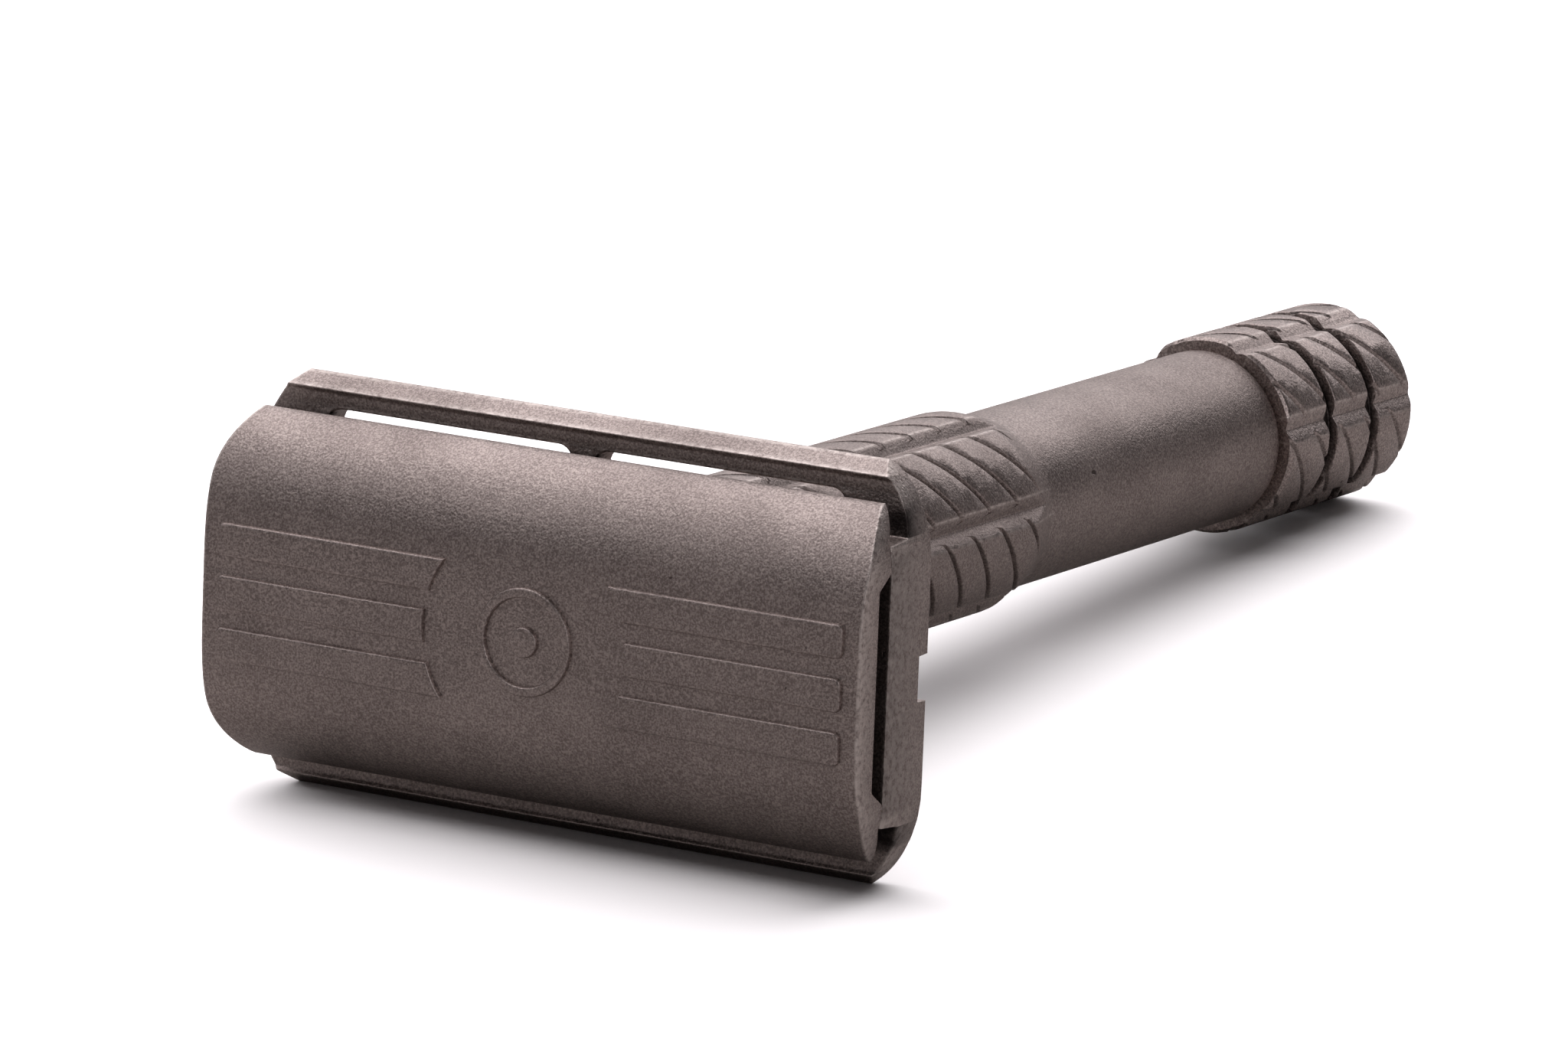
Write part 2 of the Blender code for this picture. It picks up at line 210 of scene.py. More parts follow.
class Outline:
    """A closed anticlockwise outline that knows its inset copies and how deep a point lies in it."""

    def __init__(self, points: Line) -> None:
        """Keeps the corners and the box round them."""
        self.points = points
        xs = [p[0] for p in points]
        vs = [p[1] for p in points]
        self.box = (min(xs), min(vs), max(xs), max(vs))

    def inset(self, distance: float) -> Line:
        """A closed copy whose every side lies further in.

        Args:
            distance: how far in, or out where it is negative.

        Returns:
            The copy's points, with the first one repeated at the end.
        """
        made = []
        count = len(self.points)
        for i in range(count):
            here = Vector(self.points[i])
            into = (here - Vector(self.points[i - 1])).normalized()
            out = (Vector(self.points[(i + 1) % count]) - here).normalized()
            normal = Vector((-into.y, into.x)) + Vector((-out.y, out.x))
            share = distance / max(normal.length_squared / 2.0, 0.2)
            made.append((here.x + normal.x * share, here.y + normal.y * share))
        return made + [made[0]]

    def depth(self, x: float, v: float) -> float:
        """How deep a point lies inside.

        Args:
            x: place along the head.
            v: place across it.

        Returns:
            Millimetres to the nearest side, negative outside.
        """
        low_x, low_v, high_x, high_v = self.box
        if x < low_x - 1.0 or x > high_x + 1.0 or v < low_v - 1.0 or v > high_v + 1.0:
            return -1.0
        nearest = 1e9
        inside = False
        ax, av = self.points[-1]
        for bx, bv in self.points:
            dx, dv = bx - ax, bv - av
            t = min(max(((x - ax) * dx + (v - av) * dv) / (dx * dx + dv * dv), 0.0), 1.0)
            nearest = min(nearest, math.hypot(x - ax - t * dx, v - av - t * dv))
            if (av > v) != (bv > v) and x < ax + (v - av) / dv * dx:
                inside = not inside
            ax, av = bx, bv
        return nearest if inside else -nearest


@dataclass
class Plan:
    """Lines on a flat plan that the edges of a mesh follow."""

    lines: list[Line] = field(default_factory=list)

    def add(self, *lines: Line) -> None:
        """Adds lines to follow."""
        self.lines.extend(lines)

    def triangles(self) -> tuple[Line, list[Sequence[int]]]:
        """Cuts the plan into triangles along all its lines.

        Returns:
            The points, and the triangles as indices of them.
        """
        points: list[Vector] = []
        edges: list[tuple[int, int]] = []
        for line in self.lines:
            start = len(points)
            points += [Vector(p) for p in line]
            edges += [(start + i, start + i + 1) for i in range(len(line) - 1)]
        made = delaunay_2d_cdt(points, edges, [], 0, 1e-5, False)
        return [(p.x, p.y) for p in made[0]], list(made[2])


@dataclass(frozen=True)
class HeadAxes:
    """Where the head's own axes lie in the row frame."""

    matrix: Matrix

    @classmethod
    def from_record(cls, record: dict, seat: float) -> "HeadAxes":
        """Reads them from the screw joint.

        Args:
            record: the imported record.
            seat: n of the joint's stated point, in millimetres.

        Returns:
            The axes.
        """
        joints = record["behaviour"]["joints"]
        screw = next(joint for joint in joints if joint["name"] == "head_unscrew")
        out = Vector(screw["axis"]).normalized()
        centre = Vector(screw["pos_m"]) - out * seat * MM
        along = Vector((1.0, 0.0, 0.0))
        turn = Matrix((along, out.cross(along), out)).transposed().to_4x4()
        return cls(Matrix.Translation(centre) @ turn)

    def lay(self, name: str, bm: bmesh.types.BMesh, crease_deg: float = 40.0) -> bpy.types.Object:
        """Turns a mesh drawn in head axes and millimetres into an object in the row frame.

        Args:
            name: the piece's name.
            bm: its mesh, which is freed.
            crease_deg: edges sharper than this stay sharp.

        Returns:
            The object.
        """
        bmesh.ops.remove_doubles(bm, verts=bm.verts, dist=MERGE)
        bmesh.ops.dissolve_degenerate(bm, edges=bm.edges, dist=MERGE / 10.0)
        bmesh.ops.recalc_face_normals(bm, faces=bm.faces)
        bm.transform(self.matrix @ Matrix.Scale(MM, 4))
        mesh = bpy.data.meshes.new(name)
        bm.to_mesh(mesh)
        bm.free()
        mesh.shade_smooth()
        mesh.set_sharp_from_angle(angle=math.radians(crease_deg))
        piece = bpy.data.objects.new(name, mesh)
        bpy.context.scene.collection.objects.link(piece)
        return piece


def stand_in(piece: bpy.types.Object, node: str, body: Body, steel: bpy.types.Material) -> None:
    """Dresses a piece and puts it in the place of a CAD node.

    Args:
        piece: the finished piece.
        node: the CAD node it stands for.
        body: the body it rides on.
        steel: its material.
    """
    piece.data.materials.clear()
    piece.data.materials.append(steel)
    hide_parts(node)
    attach(piece, body.value)
    logging.info("%s stands for %s, %d faces", piece.name, node, len(piece.data.polygons))


def solid_between(plan: Plan, keep: Callable[[float, float], bool], top: Surface,
                  under: Surface, wear_and_glint: Surface, painted_shade: Surface) -> bmesh.types.BMesh:
    """Builds a closed plate between two heights over a plan.

    Args:
        plan: lines that its edges follow.
        keep: whether a place on the plan has metal.
        top: height of the outer face.
        under: height of the inner face.
        wear_and_glint: how much brighter edge colour the outer face gets, partly wear and partly painted
            highlight, 0 to 1.
        painted_shade: how much painted shade darkens the outer face, 0 to 1.

    Returns:
        The mesh, in millimetres.
    """
    points, triangles = plan.triangles()
    kept = [f for f in triangles if keep(sum(points[i][0] for i in f) / 3.0,
                                         sum(points[i][1] for i in f) / 3.0)]
    bm = bmesh.new()
    wear_glint = bm.verts.layers.float.new(WEAR_AND_GLINT)
    shade_paint = bm.verts.layers.float.new(PAINTED_SHADE)
    upper: dict[int, bmesh.types.BMVert] = {}
    lower: dict[int, bmesh.types.BMVert] = {}
    for i in sorted({i for f in kept for i in f}):
        x, v = points[i]
        upper[i] = bm.verts.new((x, v, top(x, v)))
        upper[i][wear_glint] = wear_and_glint(x, v)
        upper[i][shade_paint] = painted_shade(x, v)
        lower[i] = bm.verts.new((x, v, under(x, v)))
    rim: dict[tuple[int, int], int] = {}
    for face in kept:
        bm.faces.new([upper[i] for i in face])
        bm.faces.new([lower[i] for i in reversed(face)])
        for a, b in zip(face, [*face[1:], face[0]]):
            key = (min(a, b), max(a, b))
            rim[key] = rim.get(key, 0) + 1
    for (a, b), uses in rim.items():
        if uses == 1:
            bm.faces.new((upper[a], upper[b], lower[b], lower[a]))
    return bm


@dataclass(frozen=True)
class HeadPlan:
    """Plan of one head plate: straight ends that curve in toward the long edges."""

    half_width: float
    corner: float
    half_length: float = 21.5
    end_flat: float = 6.33

    def reach(self, v: float) -> float:
        """Half-length at a place across the head."""
        past = max(abs(v) - self.end_flat, 0.0)
        return self.half_length - self.corner + math.sqrt(self.corner**2 - past**2)

    def lines(self, across: list[float], insets: list[float], pitch: float) -> list[Line]:
        """Lines that run the length of the plate, and rings that follow its ends.

        Args:
            across: where the long lines lie.
            insets: how far in from the ends the rings lie.
            pitch: spacing of the points on a long line.

        Returns:
            The lines.
        """
        made = []
        for v in across:
            end = self.reach(v)
            count = int((end - pitch / 2.0) / pitch)
            middle = [(i * pitch, v) for i in range(-count, count + 1)]
            made.append([(-end, v), *middle, (end, v)])
        for inset in insets:
            for side in Side:
                made.append([(side.value * (self.reach(v) - inset), v) for v in across])
        return made


@dataclass(frozen=True)
class Thread:
    """A right-hand thread."""

    pitch: float = 0.8
    minor: float = 2.0
    major: float = 2.45
    start: float = -5.4
    steps: int = 12

    def radius(self, n: float, angle: float, room: float) -> float:
        """Radius of the flank at a place.

        Args:
            n: place along the axis.
            angle: turn round it, in radians.
            room: clearance added to the whole thread.

        Returns:
            The radius.
        """
        share = (n / self.pitch - angle / (2.0 * math.pi)) % 1.0
        wave = min(max((abs(2.0 * share - 1.0) - 0.15) / 0.7, 0.0), 1.0)
        return room + self.minor + (self.major - self.minor) * wave

    def rows(self, end: float, room: float) -> list[Row]:
        """Rings that follow the thread from its start.

        Args:
            end: where they stop.
            room: clearance added to the thread.

        Returns:
            The rings.
        """
        count = round(abs(end - self.start) / self.pitch * self.steps)
        made: list[Row] = []
        for i in range(count + 1):
            n = self.start + (end - self.start) * i / count
            made.append((n, lambda angle, n=n: self.radius(n, angle, room)))
        return made


def spun(rows: list[Row], sides: int, joined: bool) -> bmesh.types.BMesh:
    """Spins rows of (n, radius) round the handle's axis.

    Args:
        rows: each ring's place and its radius, which may depend on the angle.
        sides: vertices in a ring.
        joined: True joins the last ring to the first, as round a through bore.

    Returns:
        The mesh, in millimetres.
    """
    bm = bmesh.new()
    rings = []
    for n, radius in rows:
        ring = []
        for i in range(sides):
            angle = 2.0 * math.pi * i / sides
            r = radius(angle) if callable(radius) else radius
            ring.append(bm.verts.new((r * math.cos(angle), r * math.sin(angle), n)))
        rings.append(ring)
    pairs = list(zip(rings, rings[1:]))
    if joined:
        pairs.append((rings[-1], rings[0]))
    for first, second in pairs:
        for i in range(sides):
            j = (i + 1) % sides
            bm.faces.new((first[i], first[j], second[j], second[i]))
    if not joined:
        bm.faces.new(rings[0])
        bm.faces.new(list(reversed(rings[-1])))
    return bm


@dataclass(frozen=True)
class Knurl:
    """Straight V flutes round the steel with helical grooves cut in the lands between them."""

    land: float = 6.1
    flutes: int = 6
    phase_deg: float = 10.7
    flute_half_deg: float = 8.0
    flute_depth: float = 0.7
    flute_root_deg: float = 0.6
    groove_pitch: float = 3.2
    groove_starts: int = 10
    groove_half: float = 0.25
    groove_depth: float = 0.34
    groove_origin: Point = (22.46, -34.5)
    zone_half_deg: float = 25.0
    lip: float = 0.10

    @property
    def climb(self) -> float:
        """How far a groove climbs along n in one degree."""
        return self.groove_pitch * self.groove_starts / 360.0

    @property
    def pitch_deg(self) -> float:
        """Angle from one flute to the next."""
        return 360.0 / self.flutes

    def angles(self) -> list[float]:
        """Angles that follow the flutes' lips, walls and floors.

        Returns:
            Degrees, from one flute's floor all the way round to it.
        """
        half, step = self.flute_half_deg, self.pitch_deg
        near = [0.0, 0.5, 1.1, 2.2, 3.6, 5.0, half - 1.8, half - 0.9, half - 0.35, half]
        near += [half + 0.35, half + 0.9, half + 2.0]
        wide = [half + 2.0 + (step / 2.0 - half - 2.0) * i / 4 for i in range(1, 5)]
        offsets = near + wide
        offsets += [step - a for a in reversed(offsets[:-1])][:-1]
        turns = [self.phase_deg + k * step + a for k in range(self.flutes) for a in offsets]
        return turns + [self.phase_deg + 360.0]

    def radius(self, angle_deg: float, n: float, blank: float, share: float) -> float:
        """Radius of the cut steel.

        Args:
            angle_deg: turn round the axis.
            n: place along it.
            blank: radius of the steel before it was cut.
            share: 1 for full cuts, 0 for none.

        Returns:
            The radius.
        """
        if share <= 0.0:
            return blank
        off = (angle_deg - self.phase_deg + self.pitch_deg / 2.0) % self.pitch_deg
        off = math.hypot(off - self.pitch_deg / 2.0, self.flute_root_deg)
        flute = self.land - share * self.flute_depth * (1.0 - off / self.flute_half_deg)
        beside = self.beside_groove(angle_deg, n)
        groove = self.land - share * self.groove_depth * (1.0 - beside * beside)
        cut = soft_min(flute, groove, self.lip)
        return soft_min(blank, cut, self.lip)

    def beside_groove(self, angle_deg: float, n: float) -> float:
        """Where a place lies beside the nearest groove.

        Args:
            angle_deg: turn round the axis.
            n: place along it.

        Returns:
            Distance from the groove's middle, in half groove widths.
        """
        turn, place = self.groove_origin
        along = n - place - (angle_deg - turn) * self.climb + self.groove_pitch / 2.0
        return (along % self.groove_pitch - self.groove_pitch / 2.0) / self.groove_half

    def groove_share(self, angle_deg: float, n: float) -> float:
        """How far down a groove on a land a place lies.

        Args:
            angle_deg: turn round the axis.
            n: place along it.

        Returns:
            1 in the groove's middle, 0 outside it and in the flutes.
        """
        off = (angle_deg - self.phase_deg + self.pitch_deg / 2.0) % self.pitch_deg
        on_land = smooth_step((abs(off - self.pitch_deg / 2.0) - self.flute_half_deg + 1.5) / 2.5)
        return on_land * max(0.0, 1.0 - self.beside_groove(angle_deg, n) ** 2)

    def groove_lines(self, front: float, back: float, rows: list[float]) -> list[list[Point]]:
        """Lines of (angle, n) along every groove's floor, walls and lips.

        Args:
            front: n where the cut stretch starts.
            back: n where it ends, lower than front.
            rows: n of the rows that a line must have a point on.

        Returns:
            The lines.
        """
        made = []
        turn, place = self.groove_origin
        shares = (0.0, 0.3, 0.6, 0.85, 1.0, 1.2)
        offsets = sorted({s * share * self.groove_half for s in (-1.0, 1.0) for share in shares})
        for flute in range(self.flutes):
            middle = self.phase_deg + (flute + 0.5) * self.pitch_deg
            first = middle - self.zone_half_deg
            last = middle + self.zone_half_deg
            low = int((back - place) / self.groove_pitch) - 4 * self.groove_starts
            high = int((front - place) / self.groove_pitch) + 2
            for k in range(low, high + 1):
                for offset in offsets:
                    base = place + k * self.groove_pitch + offset
                    a = max(first, turn + (back - base) / self.climb)
                    b = min(last, turn + (front - base) / self.climb)
                    if b - a > 0.2:
                        low_n, high_n = (base + (t - turn) * self.climb for t in (a, b))
                        steps = [low_n, *(n for n in rows if low_n < n < high_n), high_n]
                        made.append([(turn + (n - base) / self.climb, n) for n in steps])
        return made


@dataclass
class CutBar:
    """A turned bar with knurling on its outside.

    Attributes:
        knurl: the cuts.
        outside: (n, radius) of the blank's outside, front to back.
        inside: (n, radius) from the outside's last point on round the bore or the end faces.
        stretch: n where the cuts start and end.
        start_fade: length over which the cuts deepen at the front.
        lead: (n, radius) of what comes before the outside, as a blind bore.
        ring_shade: how much painted shade darkens the turned rings, 0 to 1.
        groove_shade: how much painted shade darkens the helical grooves, 0 to 1.
        degree: millimetres that stand for one degree on the flat plan.
        ring_shade_depth: how far below the lands the rings' painted shade starts, and over what depth it
            grows.
        groove_shade_depth: depth at which a groove's painted shade is full.
        wear_glint_depth: steel cut deeper than this gets no brighter edge colour.
        wear_glint_reach_deg: how far the brighter edge colour, partly wear and partly painted highlight,
            reaches from a flute's lip.
    """

    knurl: Knurl
    outside: Line
    inside: Line
    stretch: Point
    start_fade: float
    lead: Line = field(default_factory=list)
    # How much painted shade darkens the turned rings and the helical grooves.
    ring_shade: float = 0.0
    groove_shade: float = 0.55
    degree: float = 0.1
    ring_shade_depth: Point = (0.2, 0.3)
    groove_shade_depth: float = 0.15
    # Brighter edge colour on the flutes' lips, partly wear and partly painted highlight.
    wear_glint_depth: float = 0.12
    wear_glint_reach_deg: float = 1.2

    def share(self, n: float) -> float:
        """How deep the cuts are at a place along the axis, 0 to 1."""
        return smooth_step((self.stretch[0] - n) / self.start_fade) if self.start_fade else 1.0

    def build(self, spacing: float) -> bmesh.types.BMesh:
        """Wraps a plan of all its lines round the axis.

        Args:
            spacing: longest step along the cut stretch.

        Returns:
            The mesh, in millimetres.
        """
        walk = [*self.lead, *self.outside, *self.inside]
        along = [0.0]
        for (an, ar), (bn, br) in zip(walk, walk[1:]):
            along.append(along[-1] + max(abs(bn - an), abs(br - ar)))
        first = along[len(self.lead)]
        last = along[len(self.lead) + len(self.outside) - 1]
        front = self.outside[0][0]
        places = [n for n, _ in walk]
        radii = [r for _, r in walk]
        start, end = self.stretch
        dip, grow = self.ring_shade_depth
        turns = self.knurl.angles()
        plan = Plan()
        for turn in turns:
            plan.add([(turn * self.degree, 0.0), (turn * self.degree, along[-1])])
        levels = set(along)
        count = max(int((start - end) / spacing), 1)
        levels |= {first + front - start + (start - end) * i / count for i in range(1, count)}
        for level in levels:
            plan.add([(turns[0] * self.degree, level), (turns[-1] * self.degree, level)])
        stations = sorted((n, t) for n, t in zip(places, along) if first <= t <= last)
        heights, walked = [n for n, _ in stations], [t for _, t in stations]
        for line in self.knurl.groove_lines(start, end, heights):
            plan.add([(turn * self.degree, float(np.interp(n, heights, walked))) for turn, n in line])
        points, triangles = plan.triangles()
        bm = bmesh.new()
        wear_glint = bm.verts.layers.float.new(WEAR_AND_GLINT)
        painted_shade = bm.verts.layers.float.new(PAINTED_SHADE)
        verts = []
        for a, t in points:
            turn = a / self.degree
            n = float(np.interp(t, along, places))
            r = float(np.interp(t, along, radii))
            blank = r
            if first <= t <= last and end <= n <= start:
                r = self.knurl.radius(turn, n, blank, self.share(n))
            angle = math.radians(turn)
            vert = bm.verts.new((r * math.cos(angle), r * math.sin(angle), n))
            if first < t < last:
                # Brighter edge colour on the flutes' lips: partly wear, partly painted highlight.
                vert[wear_glint] = self.wear_glint(turn, n, blank, r)
                # Painted shade: a darker colour laid into the turned rings and the helical grooves.
                ring = (self.knurl.land - dip - blank) / grow if start >= n >= end else 0.0
                cut = self.knurl.groove_share(turn, n) * smooth_step((blank - r) / self.groove_shade_depth)
                vert[painted_shade] = min(max(ring * self.ring_shade, cut * self.groove_shade, 0.0), 1.0)
            verts.append(vert)
        for face in triangles:
            bm.faces.new([verts[i] for i in face])
        return bm

    def wear_glint(self, turn: float, n: float, blank: float, radius: float) -> float:
        """How much brighter edge colour the skin gets, partly wear and partly painted highlight: most on
        lips that stand next to a cut.

        Args:
            turn: angle in degrees.
            n: place along the axis.
            blank: radius before cutting.
            radius: radius after it.

        Returns:
            0 to 1.
        """
        if blank - radius > self.wear_glint_depth:
            return 0.0
        knurl = self.knurl
        off = (turn - knurl.phase_deg + knurl.pitch_deg / 2.0) % knurl.pitch_deg
        beside = abs(abs(off - knurl.pitch_deg / 2.0) - knurl.flute_half_deg)
        wear_and_glint = max(0.0, 1.0 - beside / self.wear_glint_reach_deg)
        return wear_and_glint if self.stretch[1] <= n <= self.stretch[0] else 0.0


class Tree:
    """A node tree under construction: adds nodes and joins sockets by name."""

    def __init__(self, tree: bpy.types.NodeTree) -> None:
        """Keeps the tree."""
        self.tree = tree

    def add(self, kind: str, **settings: object) -> bpy.types.Node:
        """Adds a node and sets its properties.

        Args:
            kind: the node's type.
            **settings: its properties by name.

        Returns:
            The node.
        """
        node = self.tree.nodes.new(kind)
        for name, value in settings.items():
            setattr(node, name, value)
        return node

    def join(self, source: bpy.types.NodeSocket, target: bpy.types.NodeSocket) -> None:
        """Links two sockets."""
        self.tree.links.new(source, target)

    def feed(self, target: bpy.types.NodeSocket, source: object) -> None:
        """Links a socket, or sets it where a plain value is given.

        Args:
            target: the input socket.
            source: an output socket or a value.
        """
        if isinstance(source, bpy.types.NodeSocket):
            self.join(source, target)
        else:
            target.default_value = source

    def maths(self, operation: str, first: object, second: object = 0.0) -> bpy.types.NodeSocket:
        """Adds a Math node and returns its output.

        Args:
            operation: the node's operation.
            first: a socket or a number.
            second: a socket or a number.

        Returns:
            The output socket.
        """
        node = self.add("ShaderNodeMath", operation=operation)
        self.feed(node.inputs[0], first)
        self.feed(node.inputs[1], second)
        return node.outputs[0]

    def effect(self, group: bpy.types.NodeTree, place: bpy.types.NodeSocket) -> bpy.types.Node:
        """Places a shared effect.

        Args:
            group: the effect's node group.
            place: the coordinates it works in.

        Returns:
            The group's node.
        """
        node = self.add("ShaderNodeGroup", node_tree=group)
        self.join(place, node.inputs["Vector"])
        return node

    def mixed(self, share: object, first: object, second: object) -> bpy.types.NodeSocket:
        """Mixes two colours.

        Args:
            share: how much of the second colour.
            first: one colour, as a socket or a plain colour.
            second: the other colour.

        Returns:
            The mixed colour's socket.
        """
        node = self.add("ShaderNodeMix", data_type="RGBA")
        self.feed(node.inputs["Factor"], share)
        for socket, colour in ((node.inputs[6], first), (node.inputs[7], second)):
            self.feed(socket, colour if isinstance(colour, bpy.types.NodeSocket) else (*colour, 1.0))
        return node.outputs[2]

    def bumped(self, shader: bpy.types.Node, height: bpy.types.NodeSocket, strength: float,
               distance: float) -> None:
        """Bends a shader's normals.

        Args:
            shader: the shader.
            height: the relief.
            strength: how much of it shows.
            distance: how high it is, in metres.
        """
        node = self.add("ShaderNodeBump")
        node.inputs["Strength"].default_value = strength
        node.inputs["Distance"].default_value = distance
        self.join(height, node.inputs["Height"])
        self.join(node.outputs["Normal"], shader.inputs["Normal"])

    def noise(self, vector: object, scale: object, detail: float,
              rough: float = 0.5) -> bpy.types.NodeSocket:
        """Adds a noise texture and returns its value.

        Args:
            vector: coordinates.
            scale: a socket or a number.
            detail: how many finer layers it has.
            rough: how strong they are.

        Returns:
            The output socket.
        """
        node = self.add("ShaderNodeTexNoise")
        self.feed(node.inputs["Vector"], vector)
        self.feed(node.inputs["Scale"], scale)
        node.inputs["Detail"].default_value = detail
        node.inputs["Roughness"].default_value = rough
        return node.outputs["Fac"]

    def spread(self, value: object, low: float, high: float,
               to: Point = (0.0, 1.0)) -> bpy.types.NodeSocket:
        """Maps a range of a value smoothly to another range.

        Args:
            value: the socket to map.
            low: start of the range it has.
            high: end of the range it has.
            to: start and end of the range it gets.

        Returns:
            The output socket.
        """
        node = self.add("ShaderNodeMapRange", interpolation_type="SMOOTHSTEP")
        self.feed(node.inputs["Value"], value)
        node.inputs["From Min"].default_value = low
        node.inputs["From Max"].default_value = high
        node.inputs["To Min"].default_value = to[0]
        node.inputs["To Max"].default_value = to[1]
        return node.outputs["Result"]


def bare_metal(name: str) -> tuple[bpy.types.Material, Tree, bpy.types.Node]:
    """Starts the material of a bare metal.

    Args:
        name: the material's name.

    Returns:
        The material, its tree and its Principled shader.
    """
    made = bpy.data.materials.new(name)
    made.use_nodes = True
    shader = made.node_tree.nodes["Principled BSDF"]
    shader.inputs["Metallic"].default_value = 1.0
    return made, Tree(made.node_tree), shader


def group_tree(name: str, inputs: dict[str, tuple[str, float | None]], outputs: Sequence[str]) -> tuple[
        Tree, bpy.types.Node, bpy.types.Node]:
    """Starts a shader node group.

    Args:
        name: the group's name.
        inputs: socket type and default of each input.
        outputs: names of its float outputs.

    Returns:
        The tree, its input node and its output node.
    """
    group = bpy.data.node_groups.new(name, "ShaderNodeTree")
    for label, (kind, default) in inputs.items():
        socket = group.interface.new_socket(label, in_out="INPUT", socket_type=kind)
        if default is not None:
            socket.default_value = default
    for label in outputs:
        group.interface.new_socket(label, in_out="OUTPUT", socket_type="NodeSocketFloat")
    tree = Tree(group)
    return tree, tree.add("NodeGroupInput"), tree.add("NodeGroupOutput")


class SteelEffects:
    """Surface effects that the steels share, each a node group built once."""

    def __init__(self, axes: HeadAxes) -> None:
        """Builds the groups."""
        self.blast = self.blast_grain()
        # Brighter colour on edges, partly wear and partly painted highlight, broken up by noise.
        self.edges = self.broken_mask("Edge wear and glint", "WearGlint", 2600.0, (0.3, 0.62), (0.0, 1.0))
        self.turning = self.turning_marks(axes)
        self.handling = self.handling_marks()
        # Painted shade for grooves, rings and the plate's channels, broken up by noise.
        self.shade_paint = self.broken_mask("Painted recess shade", "Shade", 1400.0, (0.2, 0.6), (0.55, 1.0))

    @staticmethod
    def blast_grain() -> bpy.types.NodeTree:
        """Bead-blasted skin: fine dimples, a sparkle of bright facets, and a few small pits."""
        tree, given, out = group_tree(
            "Blast grain",
            {"Vector": ("NodeSocketVector", None), "Grain": ("NodeSocketFloat", 8000.0)},
            ("Speckle", "Mottle", "Pits", "Height"),
        )
        vector, grain = given.outputs["Vector"], given.outputs["Grain"]
        fine = tree.noise(vector, grain, 2.0, 0.65)
        coarse = tree.noise(vector, tree.maths("MULTIPLY", grain, 0.6), 1.0)
        cell = tree.add("ShaderNodeTexVoronoi", feature="F1")
        tree.feed(cell.inputs["Vector"], vector)
        tree.feed(cell.inputs["Scale"], tree.maths("MULTIPLY", grain, 0.8))
        dimple = tree.maths("MULTIPLY", cell.outputs["Distance"], 0.5)
        speckle = tree.maths("ADD", tree.maths("MULTIPLY", fine, 0.8), tree.maths("MULTIPLY", coarse, 0.2))
        tree.join(tree.spread(speckle, 0.38, 0.66), out.inputs["Speckle"])
        wide = tree.noise(vector, tree.maths("MULTIPLY", grain, 0.035), 3.0, 0.6)
        tree.join(tree.spread(wide, 0.3, 0.7), out.inputs["Mottle"])
        sparse = tree.noise(vector, tree.maths("MULTIPLY", grain, 0.16), 1.0)
        pits = tree.spread(sparse, 0.80, 0.83)
        tree.join(pits, out.inputs["Pits"])
        bumps = tree.maths("ADD", tree.maths("ADD", fine, dimple), tree.maths("MULTIPLY", coarse, 0.8))
        tree.join(tree.maths("SUBTRACT", bumps, pits), out.inputs["Height"])
        return tree.tree

    @staticmethod
    def broken_mask(name: str, source: str, breakup: float, noise: Point, left: Point) -> bpy.types.NodeTree:
        """A mask that noise breaks up.

        Args:
            name: the group's name.
            source: its input for the whole mask.
            breakup: fineness of the noise.
            noise: the range of the noise that counts.
            left: how much of the mask is left at that range's two ends.

        Returns:
            The group.
        """
        tree, given, out = group_tree(
            name,
            {"Vector": ("NodeSocketVector", None), source: ("NodeSocketFloat", 0.0),
             "Breakup": ("NodeSocketFloat", breakup)},
            ("Mask",),
        )
        uneven = tree.noise(given.outputs["Vector"], given.outputs["Breakup"], 3.0, 0.6)
        share = tree.spread(uneven, *noise, left)
        tree.join(tree.maths("MULTIPLY", given.outputs[source], share), out.inputs["Mask"])
        return tree.tree

    @staticmethod
    def turning_marks(axes: HeadAxes) -> bpy.types.NodeTree:
        """Fine rings left by the lathe, round the handle's axis."""
        tree, given, out = group_tree(
            "Turning marks",
            {"Vector": ("NodeSocketVector", None), "Fineness": ("NodeSocketFloat", 12000.0)},
            ("Tone", "Height"),
        )
        upright = tree.add("ShaderNodeMapping")
        tree.feed(upright.inputs["Vector"], given.outputs["Vector"])
        upright.inputs["Rotation"].default_value = axes.matrix.to_3x3().inverted().to_euler()
        squeeze = tree.add("ShaderNodeMapping")
        tree.join(upright.outputs["Vector"], squeeze.inputs["Vector"])
        squeeze.inputs["Scale"].default_value = (0.02, 0.02, 1.0)
        lines = tree.noise(squeeze.outputs["Vector"], given.outputs["Fineness"], 3.0, 0.6)
        tree.join(tree.spread(lines, 0.3, 0.7), out.inputs["Tone"])
        tree.join(lines, out.inputs["Height"])
        return tree.tree

    @staticmethod
    def handling_marks() -> bpy.types.NodeTree:
        """Broad soft smudges where fingers have been."""
        tree, given, out = group_tree(
            "Handling marks",
            {"Vector": ("NodeSocketVector", None), "Size": ("NodeSocketFloat", 120.0)},
            ("Mask",),
        )
        broad = tree.noise(given.outputs["Vector"], given.outputs["Size"], 2.0, 0.5)
        tree.join(tree.spread(broad, 0.35, 0.68), out.inputs["Mask"])
        return tree.tree


